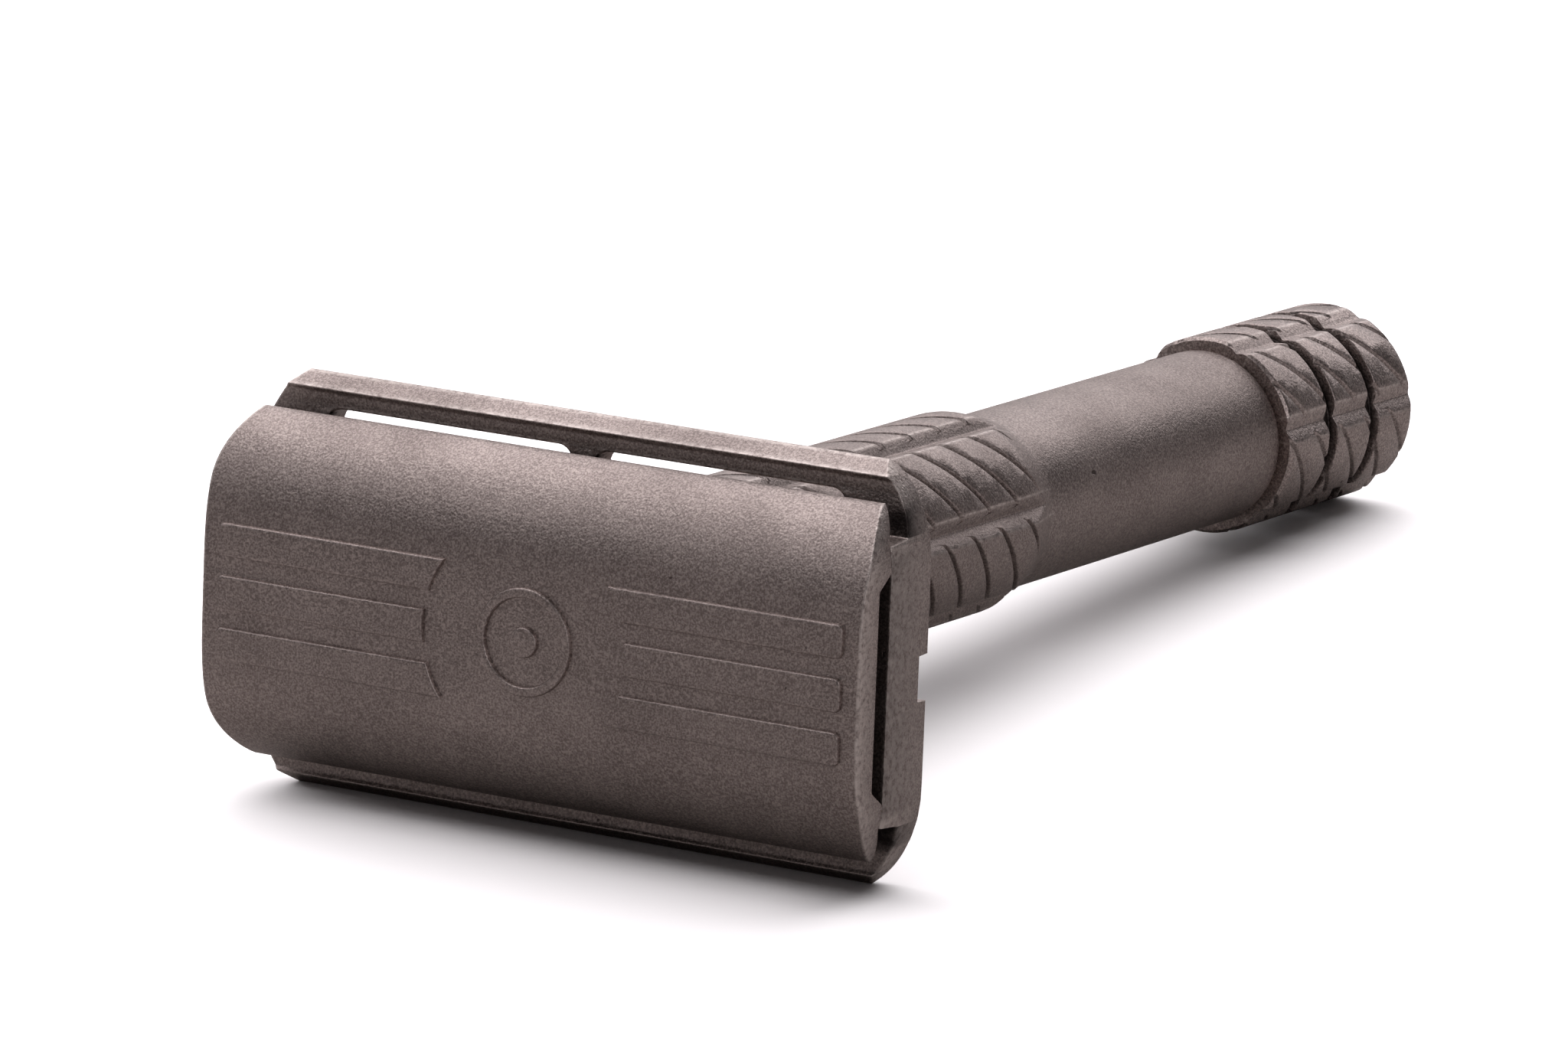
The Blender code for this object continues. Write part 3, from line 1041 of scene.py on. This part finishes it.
@dataclass(frozen=True)
class BlastedSteel:
    """Bead-blasted steel: taupe grey, matt, finely speckled; rubbed edges get a brighter colour, partly wear
    and partly painted highlight, and grooves, rings and channels get painted shade.
    """

    name: str
    effects: SteelEffects
    dark: tuple[float, float, float] = (0.235, 0.196, 0.186)
    light: tuple[float, float, float] = (0.54, 0.462, 0.438)
    # Brighter edge colour: partly wear, partly painted highlight.
    wear_glint_tone: tuple[float, float, float] = (0.68, 0.61, 0.58)
    pit: tuple[float, float, float] = (0.12, 0.095, 0.088)
    # Colour of the painted shade in grooves, rings and channels.
    shade_tone: tuple[float, float, float] = (0.05, 0.042, 0.04)
    roughness: Point = (0.40, 0.52)
    grain: float = 8200.0
    bump: float = 0.55
    bump_height: float = 0.00004

    def make(self) -> bpy.types.Material:
        """Builds the material."""
        made, tree, shader = bare_metal(self.name)
        place = tree.add("ShaderNodeTexCoord").outputs["Object"]
        blast = tree.effect(self.effects.blast, place)
        blast.inputs["Grain"].default_value = self.grain
        # Edge colour that is partly wear and partly painted highlight.
        wear_and_glint = tree.add("ShaderNodeAttribute", attribute_name=WEAR_AND_GLINT)
        edges = tree.effect(self.effects.edges, place)
        tree.join(wear_and_glint.outputs["Fac"], edges.inputs["WearGlint"])
        marks = tree.effect(self.effects.handling, place)
        tone = tree.maths("ADD", tree.maths("MULTIPLY", blast.outputs["Speckle"], 0.86),
                          tree.maths("MULTIPLY", blast.outputs["Mottle"], 0.14))
        skin = tree.mixed(tone, self.dark, self.light)
        skin = tree.mixed(blast.outputs["Pits"], skin, self.pit)
        skin = tree.mixed(edges.outputs["Mask"], skin, self.wear_glint_tone)
        # Painted shade: grooves, rings and channels are darkened in the base colour.
        painted_shade = tree.add("ShaderNodeAttribute", attribute_name=PAINTED_SHADE)
        shade_paint = tree.effect(self.effects.shade_paint, place)
        tree.join(painted_shade.outputs["Fac"], shade_paint.inputs["Shade"])
        skin = tree.mixed(shade_paint.outputs["Mask"], skin, self.shade_tone)
        tree.join(skin, shader.inputs["Base Color"])
        gloss = tree.maths("ADD", tree.maths("MULTIPLY", marks.outputs["Mask"], 0.6),
                           tree.maths("MULTIPLY", blast.outputs["Speckle"], 0.4))
        tree.join(tree.spread(gloss, 0.0, 1.0, self.roughness), shader.inputs["Roughness"])
        tree.bumped(shader, blast.outputs["Height"], self.bump, self.bump_height)
        return made


@dataclass(frozen=True)
class TurnedSteel:
    """Plain turned steel with fine lathe rings, for stud, pins, insert and joint."""

    name: str
    effects: SteelEffects
    dark: tuple[float, float, float] = (0.30, 0.285, 0.27)
    light: tuple[float, float, float] = (0.55, 0.53, 0.505)
    roughness: Point = (0.24, 0.38)
    mark_size: float = 400.0
    bump: float = 0.3
    bump_height: float = 0.00001

    def make(self) -> bpy.types.Material:
        """Builds the material."""
        made, tree, shader = bare_metal(self.name)
        place = tree.add("ShaderNodeTexCoord").outputs["Object"]
        rings = tree.effect(self.effects.turning, place)
        marks = tree.effect(self.effects.handling, place)
        marks.inputs["Size"].default_value = self.mark_size
        tone = tree.maths("ADD", tree.maths("MULTIPLY", rings.outputs["Tone"], 0.6),
                          tree.maths("MULTIPLY", marks.outputs["Mask"], 0.4))
        tree.join(tree.mixed(tone, self.dark, self.light), shader.inputs["Base Color"])
        tree.join(tree.spread(tone, 0.0, 1.0, self.roughness), shader.inputs["Roughness"])
        tree.bumped(shader, rings.outputs["Height"], self.bump, self.bump_height)
        return made


@dataclass
class Steels:
    """Every finish on the razor."""

    effects: SteelEffects

    def __post_init__(self) -> None:
        """Makes the materials."""
        self.head = BlastedSteel("head_steel", self.effects).make()
        self.grip = BlastedSteel("grip_steel", self.effects).make()
        self.knob = BlastedSteel("knob_steel", self.effects, light=(0.62, 0.53, 0.503),
                                 roughness=(0.34, 0.46)).make()
        self.turned = TurnedSteel("turned_steel", self.effects).make()


@dataclass
class CapSet:
    """The domed cap with its raised bars and ring, and the stud and pins pressed into it."""

    axes: HeadAxes
    steels: Steels
    plan: HeadPlan = HeadPlan(half_width=10.04, corner=6.3)
    top: float = 3.027
    edge: float = -0.94
    dome_power: float = 4.0
    dome_root: float = 0.87
    end_round: float = 0.08
    clamp_half: float = 7.94
    hollow_half: float = 6.47
    roof_half: float = 5.61
    roof: float = 1.2
    boss: float = 4.2
    stud_hole: float = 2.3
    pin_hole: float = 1.55
    pin_x: float = 8.5
    bar_half: float = 0.97
    bar_pitch: float = 3.0
    bar_inner: float = 6.62
    bar_outer: float = 20.45
    bar_corner: float = 0.4
    rise: float = 0.25
    ring: Point = (2.5, 3.1)
    dot: float = 0.9
    wall: float = 0.04
    stud_hole_top: float = 1.9
    pin_hole_top: float = 2.3
    skin_step: float = 0.32
    shoulder: tuple[float, ...] = (0.0, 0.025, 0.055, 0.09, 0.14)
    shoulder_rise: tuple[float, ...] = (0.0, 0.52, 0.82, 0.95, 1.0)
    fade: float = 0.1
    stud_root: float = 2.2
    stud_end: float = -13.4
    pin_radius: float = 1.45
    pin_top: float = 2.2
    pin_end: float = -3.95
    pin_nose: float = 0.45
    thread: Thread = Thread()

    def build(self) -> None:
        """Builds and dresses the four pieces."""
        stand_in(self.cap(), "cap", Body.CAP_SET, self.steels.head)
        stand_in(self.stud(), "cap_stud", Body.CAP_SET, self.steels.turned)
        for node, x in (("pin_left", -self.pin_x), ("pin_right", self.pin_x)):
            stand_in(self.pin("locating_" + node, x), node, Body.CAP_SET, self.steels.turned)

    def dome(self, v: float) -> float:
        """Height of the outer skin at a place across the head."""
        share = min(abs(v) / self.plan.half_width, 1.0)
        return self.edge + (self.top - self.edge) * (1.0 - share**self.dome_power) ** self.dome_root

    def under_profile(self) -> Line:
        """The underside, from the middle out: hollow, clamping land and lip."""
        corners = [(0.0, self.roof), (self.roof_half, self.roof), (self.hollow_half, 0.0),
                   (self.clamp_half, 0.0), (8.7, -0.42), (9.7, -0.99)]
        return softened([*corners, (self.plan.half_width, -1.08)], 0.15)

    def bars(self) -> list[Outline]:
        """Plans of the six bars, whose inner ends follow a circle round the ring."""
        made = []
        for row in (-1, 0, 1):
            low = row * self.bar_pitch - self.bar_half
            high = row * self.bar_pitch + self.bar_half
            inner = [low + (high - low) * i / 10 for i in range(10, -1, -1)]
            plan = [(math.sqrt(self.bar_inner**2 - v**2), v) for v in inner]
            for v, start in ((low + self.bar_corner, -90.0), (high - self.bar_corner, 0.0)):
                for step in range(6):
                    turn = math.radians(start + 18.0 * step)
                    x = self.bar_outer - self.bar_corner + self.bar_corner * math.cos(turn)
                    plan.append((x, v + self.bar_corner * math.sin(turn)))
            made.append(Outline(plan))
            made.append(Outline([(-x, v) for x, v in reversed(plan)]))
        return made

    def cap(self) -> bpy.types.Object:
        """The cap, as one closed skin over a plan of all its edges."""
        profile = Profile(self.under_profile())
        bars = self.bars()
        shoulder, fade = self.shoulder, self.fade
        plan = Plan()
        across = mirrored(even_places(self.dome, self.plan.half_width, self.skin_step) + profile.places)
        insets = edge_steps(self.end_round, 4) + [self.end_round + fade]
        plan.add(*self.plan.lines(across, insets, 1.4))
        for bar in bars:
            plan.add(*[bar.inset(d) for d in (*shoulder, shoulder[-1] + fade)])
        low, high = self.ring
        for depth in shoulder:
            plan.add(circle(0.0, low + depth, 96), circle(0.0, high - depth, 96))
            plan.add(circle(0.0, self.dot - depth, 48))
        holes = [(0.0, self.boss), (0.0, self.stud_hole)]
        holes += [(x, self.pin_hole) for x in (-self.pin_x, self.pin_x)]
        for x, radius in holes:
            plan.add(circle(x, radius, 48))
            plan.add(circle(x, (radius + self.wall) / math.cos(math.pi / 48), 48))

        def raised(x: float, v: float) -> float:
            """How deep a place lies inside a raised shape, 0 or less outside all of them."""
            out = math.hypot(x, v)
            return max(max(bar.depth(x, v) for bar in bars), min(out - low, high - out), self.dot - out)

        def outer(x: float, v: float) -> float:
            """Height of the outer skin."""
            radius = min(self.end_round, 0.35 * (self.dome(v) - profile.at(v)))
            lift = self.rise * float(np.interp(raised(x, v), shoulder, self.shoulder_rise))
            return self.dome(v) + lift - rounded_drop(self.plan.reach(v) - abs(x), radius)

        def inner(x: float, v: float) -> float:
            """Height of the underside, with the boss and the blind holes."""
            height = profile.at(v)
            out = math.hypot(x, v)
            height *= ramp(out - self.boss, self.wall)
            depth = 1.0 - ramp(out - self.stud_hole, self.wall)
            height += depth * self.stud_hole_top
            for pin in (-self.pin_x, self.pin_x):
                depth = 1.0 - ramp(math.hypot(x - pin, v) - self.pin_hole, self.wall)
                height += depth * (self.pin_hole_top - self.roof)
            return height

        def wear_and_glint(x: float, v: float) -> float:
            """How much brighter edge colour the skin gets, partly wear and partly painted highlight: the end
            edges and the bars' shoulders.
            """
            edge = self.plan.reach(v) - abs(x) - self.end_round
            shape = raised(x, v)
            bar = abs(shape - 0.07) / fade if shape > 0.01 else 1.0
            return max(0.0, 1.0 - max(edge, 0.0) / fade, 0.12 * (1.0 - bar))

        mesh = solid_between(plan, lambda x, v: True, outer, inner, wear_and_glint, lambda x, v: 0.0)
        return self.axes.lay("domed_cap", mesh, 42.0)

    def stud(self) -> bpy.types.Object:
        """The threaded stud."""
        shank, root, end = self.thread.major, self.stud_root, self.stud_end
        rows: list[Row] = [(1.75, root - 0.2), (1.55, root), (-0.05, root), (-0.15, shank),
                           (-4.7, shank), (-4.95, self.thread.minor)]
        rows += self.thread.rows(end + 0.6, 0.0)
        rows += [(end + 0.4, self.thread.minor), (end, self.thread.minor - 0.45)]
        return self.axes.lay("threaded_stud", spun(rows, 48, False), 30.0)

    def pin(self, name: str, x: float) -> bpy.types.Object:
        """One locating pin, with a rounded nose.

        Args:
            name: its name.
            x: where it stands along the head.

        Returns:
            The piece.
        """
        radius, top, end, nose = self.pin_radius, self.pin_top, self.pin_end, self.pin_nose
        rows: list[Row] = [(top, radius - 0.15), (top - 0.15, radius)]
        for i in range(7):
            turn = math.pi / 2.0 * i / 6
            rows.append((end + nose * (1.0 - math.sin(turn)), radius - nose * (1.0 - math.cos(turn))))
        bm = spun(rows, 48, False)
        bmesh.ops.translate(bm, vec=(x, 0.0, 0.0), verts=bm.verts)
        return self.axes.lay(name, bm, 30.0)


@dataclass
class BasePlate:
    """The plate under the cap: platform, channels, guard bars, drain slots and holes."""

    axes: HeadAxes
    steels: Steels
    plan: HeadPlan = HeadPlan(half_width=11.94, corner=7.5)
    end_round: float = 0.08
    slot_v: float = 9.1
    slot_radius: float = 1.0
    slot_span: Point = (0.7, 17.05)
    slot_round: float = 0.14
    stud_way: float = 2.75
    pin_way: float = 1.62
    pin_x: float = 8.5
    groove_half: float = 1.29
    # Painted shade on the platform under the cap.
    platform_shade: float = 0.5
    platform_reach: float = 7.0
    channel: Point = (8.1, 9.9)
    lips: Point = (11.25, 11.9)
    fade: float = 0.1
    groove_top: float = -3.43
    underside: float = -4.3
    wall: float = 0.04

    def build(self) -> None:
        """Builds and dresses the plate."""
        stand_in(self.plate(), "base_plate", Body.PLATE, self.steels.head)

    def top_profile(self) -> Line:
        """The upper face, from the middle out: platform, channel, lip and guard bevel."""
        platform = softened([(0.0, -0.1), (7.86, -0.1), (8.04, -2.0), (9.27, -2.36)], 0.12)[:-1]
        channel = softened([(9.27, -2.36), (10.3, -2.49), (10.95, -2.47), (11.2, -2.26),
                            (self.plan.half_width - 0.02, -3.5), (self.plan.half_width, -3.57)], 0.1)
        return platform + channel

    def under_profile(self) -> Line:
        """The underside, from the middle out: groove, flat and the guard's rounded tip."""
        tip = softened([(1.6, self.underside), (10.8, self.underside), (11.45, -4.12), (11.82, -3.82),
                        (self.plan.half_width, -3.62)], 0.3)
        return [(0.0, self.groove_top), (self.groove_half, self.groove_top),
                (self.groove_half + self.wall, self.underside), *tip]

    def slots(self) -> list[Outline]:
        """Plans of the four drain slots."""
        made = []
        low, high = self.slot_span
        for side in Side:
            for v in (-self.slot_v, self.slot_v):
                middle = side.value * (low + high) / 2.0
                half = (high - low) / 2.0 - self.slot_radius
                plan = []
                for end, start in ((half, -90.0), (-half, 90.0)):
                    for step in range(13):
                        turn = math.radians(start + 15.0 * step)
                        plan.append((middle + end + self.slot_radius * math.cos(turn),
                                     v + self.slot_radius * math.sin(turn)))
                made.append(Outline(plan))
        return made

    def plate(self) -> bpy.types.Object:
        """The plate, as one closed skin over a plan of all its edges."""
        upper, lower = Profile(self.top_profile()), Profile(self.under_profile())
        regular = [self.plan.half_width * i / 12 for i in range(13)]
        across = mirrored(upper.places + lower.places + regular)
        slots = self.slots()
        ways = [(0.0, self.stud_way), (-self.pin_x, self.pin_way), (self.pin_x, self.pin_way)]
        fade = self.fade
        plan = Plan()
        insets = edge_steps(self.end_round, 4) + [self.end_round + fade]
        plan.add(*self.plan.lines(across, insets, 1.4))
        rims = edge_steps(self.slot_round, 3)
        for slot in slots:
            plan.add(*[slot.inset(-rim) for rim in rims])
        for x, radius in ways:
            plan.add(*[circle(x, radius + rim, 72) for rim in rims])

        def past_hole(x: float, v: float) -> float:
            """Distance from the nearest slot or hole, negative inside one."""
            nearest = min(-slot.depth(x, v) for slot in slots)
            return min(nearest, *(math.hypot(x - way, v) - radius for way, radius in ways))

        def rounding(x: float, v: float) -> float:
            """How far the rounded ends and hole rims lie below the sharp profile."""
            radius = min(self.end_round, 0.3 * (upper.at(v) - lower.at(v)))
            drop = rounded_drop(self.plan.reach(v) - abs(x), radius)
            return max(drop, rounded_drop(max(past_hole(x, v), 0.0), self.slot_round))

        def outer(x: float, v: float) -> float:
            """Height of the upper face."""
            return upper.at(v) - rounding(x, v)

        def inner(x: float, v: float) -> float:
            """Height of the underside."""
            return lower.at(v) + rounding(x, v)

        def wear_and_glint(x: float, v: float) -> float:
            """How much brighter edge colour the face gets, partly wear and partly painted highlight: the
            ends, the guard's lip and the slots' rims.
            """
            edge = self.plan.reach(v) - abs(x) - self.end_round
            rim = max(0.0, past_hole(x, v) - self.slot_round)
            return max(0.0, 1.0 - max(edge, 0.0) / fade, 1.0 - rim / fade,
                       *(1.0 - abs(abs(v) - lip) / fade for lip in self.lips))

        def painted_shade(x: float, v: float) -> float:
            """Painted shade on the face: in the channels where the cap overhangs them, and on the platform
            under the cap.
            """
            if abs(v) < self.platform_reach:
                return self.platform_shade
            return float(self.channel[0] < abs(v) < self.channel[1])

        mesh = solid_between(plan, lambda x, v: past_hole(x, v) > 0.0, outer, inner, wear_and_glint, painted_shade)
        return self.axes.lay("guard_plate", mesh, 42.0)


@dataclass
class Handle:
    """The knurled handle with its insert, rear bush, dowel and end knob."""

    axes: HeadAxes
    steels: Steels
    knurl: Knurl = Knurl(flute_depth=0.6)
    knob_knurl: Knurl = Knurl(flute_depth=0.46, groove_depth=0.22)
    thread: Thread = Thread()
    thread_room: float = 0.15
    front: float = -4.4
    back: float = -74.4
    tube: float = 5.35
    grip: Point = (-6.4, -43.0)
    grip_fade: float = 3.6
    grip_start_fade: float = 0.9
    bore: float = 3.4
    insert_radius: float = 4.0
    insert: Point = (-4.5, -15.4)
    bush_radius: float = 4.0
    bush: Point = (-66.0, -74.3)
    gap: float = 0.1
    dowel: float = 2.45
    dowel_span: Point = (-67.0, -84.0)
    knob_span: Point = (-74.5, -90.6)
    knob_rings: Point = (-79.9, -85.25)
    ring_half: float = 0.58
    ring_depth: float = 0.7
    edge_round: float = 0.1
    knob_round: float = 0.9

    def build(self) -> None:
        """Builds and dresses the five pieces."""
        stand_in(self.body(), "handle_body", Body.HANDLE, self.steels.grip)
        stand_in(self.mouth_insert(), "thread_insert", Body.HANDLE, self.steels.turned)
        stand_in(self.rear_bush(), "tail_bush", Body.HANDLE, self.steels.turned)
        stand_in(self.knob_dowel(), "knob_joint", Body.HANDLE, self.steels.turned)
        stand_in(self.knob(), "end_knob", Body.HANDLE, self.steels.knob)

    def body(self) -> bpy.types.Object:
        """The bored tube with its knurled grip."""
        land = self.knurl.land
        seat, bush = self.insert_radius + self.gap, self.bush_radius + self.gap
        outside = softened([(self.front, land - 0.5), (self.front - 0.5, land), (self.grip[0], land)], 0.2)
        outside.append((self.grip[1], land))
        steps = 14
        for i in range(1, steps + 1):
            drop = smooth_step(i / steps) * (land - self.tube)
            outside.append((self.grip[1] - self.grip_fade * i / steps, land - drop))
        tube_end = self.grip[1] - self.grip_fade
        outside += [(tube_end + (self.back + 0.5 - tube_end) * i / 12, self.tube) for i in range(1, 12)]
        outside += softened([(self.back + 0.5, self.tube), (self.back + 0.25, self.tube),
                             (self.back, self.tube - 0.25)], 0.12)
        rear, mouth = self.bush[0] + self.gap, self.insert[1] - self.gap
        inside = [(self.back, bush), (rear, bush), (rear, self.bore), (mouth, self.bore), (mouth, seat),
                  (self.front, seat), (self.front, land - 0.5)]
        stretch = (self.grip[0], tube_end + 0.05)
        bar = CutBar(self.knurl, outside, inside, stretch, self.grip_start_fade)
        return self.axes.lay("grip_handle", bar.build(1.1), 42.0)

    def knob(self) -> bpy.types.Object:
        """The end knob: knurled, with two turned rings and a rounded rear edge."""
        land, (front, back) = self.knurl.land, self.knob_span
        low, half = land - self.ring_depth, self.ring_half
        corners = [(front, land - 0.2), (front - 0.2, land)]
        for n in self.knob_rings:
            corners += [(n + half, land), (n + half - 0.08, low), (n - half + 0.08, low), (n - half, land)]
        corners.append((back + self.knob_round, land))
        outside = softened(corners, self.edge_round)
        for i in range(1, 9):
            turn = math.pi / 2.0 * i / 8
            outside.append((back + self.knob_round * (1.0 - math.sin(turn)),
                            land - self.knob_round * (1.0 - math.cos(turn))))
        hole = self.dowel + self.gap
        floor = self.dowel_span[1] - self.gap
        lead = [(floor, 0.0), (floor, hole), (front, hole)]
        inside = [(back, land - self.knob_round - r) for r in (1.2, 3.0)] + [(back, 0.0)]
        # The knob's rings get full painted shade and its grooves 0.4 of it.
        bar = CutBar(self.knob_knurl, outside, inside, (front, back), 0.0, lead, 1.0, 0.4)
        return self.axes.lay("banded_knob", bar.build(1.1), 42.0)

    def mouth_insert(self) -> bpy.types.Object:
        """The threaded insert in the handle's mouth."""
        front, back = self.insert
        major, outer = self.thread.major + self.thread_room, self.insert_radius
        rows: list[Row] = [(back, major), (back, outer - 0.3), (back + 0.3, outer),
                           (front - 0.2, outer), (front, outer - 0.2), (front, major + 0.3),
                           (front - 0.5, major), (self.thread.start + 0.02, major)]
        rows += self.thread.rows(back + 0.6, self.thread_room)
        return self.axes.lay("mouth_insert", spun(rows, 48, True), 30.0)

    def rear_bush(self) -> bpy.types.Object:
        """The bush in the tube's rear end."""
        front, back = self.bush
        inner, outer = self.dowel + self.gap, self.bush_radius
        rows: list[Row] = [(back, inner), (front, inner), (front, outer - 0.2), (front - 0.2, outer),
                           (back + 0.2, outer), (back, outer - 0.2)]
        return self.axes.lay("rear_bush", spun(rows, 64, True), 30.0)

    def knob_dowel(self) -> bpy.types.Object:
        """The grooved dowel that joins knob and tube."""
        front, back = self.dowel_span
        rows: list[Row] = [(front, self.dowel - 0.3), (front - 0.3, self.dowel)]
        for n in (-69.0, -72.0, -77.5, -81.0):
            rows += [(n, self.dowel), (n - 0.2, self.dowel - 0.25)]
            rows += [(n - 0.6, self.dowel - 0.25), (n - 0.8, self.dowel)]
        rows += [(back + 0.3, self.dowel), (back, self.dowel - 0.3)]
        return self.axes.lay("knob_dowel", spun(rows, 48, False), 30.0)


@dataclass(frozen=True)
class Softbox:
    """One large soft light that faces the razor.

    Attributes:
        name: what it is called.
        place: where it hangs, in metres.
        size: its two sides, in metres.
        watts: its power.
        on_floor: whether it lights the floor, or else is mirrored by the steel.
        tint: its colour.
    """

    name: str
    place: tuple[float, float, float]
    size: Point
    watts: float
    on_floor: bool = False
    tint: tuple[float, float, float] = (1.0, 0.96, 0.97)

    def hang(self) -> None:
        """Adds the light to the scene."""
        light = bpy.data.lights.new(self.name, "AREA")
        light.shape = "RECTANGLE"
        light.size, light.size_y = self.size
        light.energy = self.watts
        light.color = self.tint
        lamp = bpy.data.objects.new(self.name, light)
        bpy.context.scene.collection.objects.link(lamp)
        turn = Vector(self.place).to_track_quat("Z", "Y").to_matrix().to_4x4()
        lamp.matrix_world = Matrix.Translation(self.place) @ turn
        lamp.visible_camera = False
        lamp.visible_glossy = not self.on_floor
        lamp.visible_diffuse = self.on_floor


@dataclass(frozen=True)
class Studio:
    """Pale floor, soft light and the camera."""

    azimuth_deg: float = 31.270
    elevation_deg: float = 15.034
    roll_deg: float = 0.216
    distance: float = 0.604695
    target: tuple[float, float, float] = (0.000256, -0.019510, 0.013062)
    lens: float = 242.289
    floor_half: float = 3.0
    tint: tuple[float, float, float] = (1.0, 0.935, 0.955)
    room_in_steel: float = 0.085
    room_on_floor: float = 0.12
    floor_colour: tuple[float, float, float] = (0.93, 0.93, 0.94)
    floor_in_steel: tuple[float, float, float] = (0.225, 0.214, 0.209)

    def build(self) -> None:
        """Sets up everything round the razor."""
        self.camera()
        self.floor()
        self.room()
        for box in self.softboxes():
            box.hang()
        bpy.context.scene.view_settings.view_transform = "Standard"
        logging.info("studio is set")

    def camera(self) -> None:
        """Stands the camera at its height and turn, with no depth of field."""
        turn, rise = math.radians(self.azimuth_deg), math.radians(self.elevation_deg)
        back = Vector((math.sin(turn) * math.cos(rise), -math.cos(turn) * math.cos(rise), math.sin(rise)))
        data = bpy.data.cameras.new("camera")
        data.sensor_width = 36.0
        data.lens = self.lens
        data.clip_start, data.clip_end = 0.01, 20.0
        camera = bpy.data.objects.new("camera", data)
        bpy.context.scene.collection.objects.link(camera)
        upright = back.to_track_quat("Z", "Y").to_matrix().to_4x4()
        roll = Matrix.Rotation(math.radians(self.roll_deg), 4, "Z")
        camera.matrix_world = Matrix.Translation(Vector(self.target) + back * self.distance) @ upright @ roll
        bpy.context.scene.camera = camera

    def floor(self) -> None:
        """A pale floor that steel mirrors more dimly, as if only a small sheet of it were lit."""
        half = self.floor_half
        mesh = bpy.data.meshes.new("floor")
        corners = [(-half, -half, 0.0), (half, -half, 0.0), (half, half, 0.0), (-half, half, 0.0)]
        mesh.from_pydata(corners, [], [(0, 1, 2, 3)])
        floor = bpy.data.objects.new("floor", mesh)
        bpy.context.scene.collection.objects.link(floor)
        paper = bpy.data.materials.new("floor_paper")
        paper.use_nodes = True
        tree = Tree(paper.node_tree)
        shader = paper.node_tree.nodes["Principled BSDF"]
        shader.inputs["Roughness"].default_value = 0.9
        shader.inputs["Specular IOR Level"].default_value = 0.0
        path = tree.add("ShaderNodeLightPath")
        colour = tree.mixed(path.outputs["Is Glossy Ray"], self.floor_colour, self.floor_in_steel)
        tree.join(colour, shader.inputs["Base Color"])
        mesh.materials.append(paper)

    def room(self) -> None:
        """White to the camera, dim to everything else."""
        world = bpy.data.worlds.new("room")
        bpy.context.scene.world = world
        world.use_nodes = True
        tree = Tree(world.node_tree)
        background = world.node_tree.nodes["Background"]
        path = tree.add("ShaderNodeLightPath")
        glow = tree.add("ShaderNodeMix", data_type="FLOAT")
        tree.join(path.outputs["Is Glossy Ray"], glow.inputs["Factor"])
        glow.inputs[2].default_value = self.room_on_floor
        glow.inputs[3].default_value = self.room_in_steel
        seen = tree.add("ShaderNodeMix", data_type="FLOAT")
        tree.join(path.outputs["Is Camera Ray"], seen.inputs["Factor"])
        tree.join(glow.outputs[0], seen.inputs[2])
        seen.inputs[3].default_value = 1.0
        tree.join(seen.outputs[0], background.inputs["Strength"])
        background.inputs["Color"].default_value = (*self.tint, 1.0)

    def softboxes(self) -> list[Softbox]:
        """The lights: one wash for the floor, and the boxes that the steel mirrors."""
        return [
            Softbox("floor_wash", (-0.5, 0.4, 1.0), (3.0, 3.0), 84.0, on_floor=True),
            Softbox("back_box", (-0.30, 0.72, 0.62), (1.5, 1.0), 5.9),
            Softbox("front_box", (-0.5, -0.42, 0.76), (0.95, 0.95), 2.1),
            Softbox("over_box", (-0.45, 0.04, 0.89), (0.6, 0.6), 1.8),
            Softbox("rim_box", (0.75, -0.45, 0.42), (0.3, 0.45), 1.1),
        ]


def main() -> None:
    """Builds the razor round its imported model."""
    logging.basicConfig(level=logging.INFO, format="%(message)s")
    axes = HeadAxes.from_record(frame["record"], Handle.front)
    steels = Steels(SteelEffects(axes))
    CapSet(axes, steels).build()
    BasePlate(axes, steels).build()
    Handle(axes, steels).build()
    Studio().build()


if __name__ == "__main__":
    main()
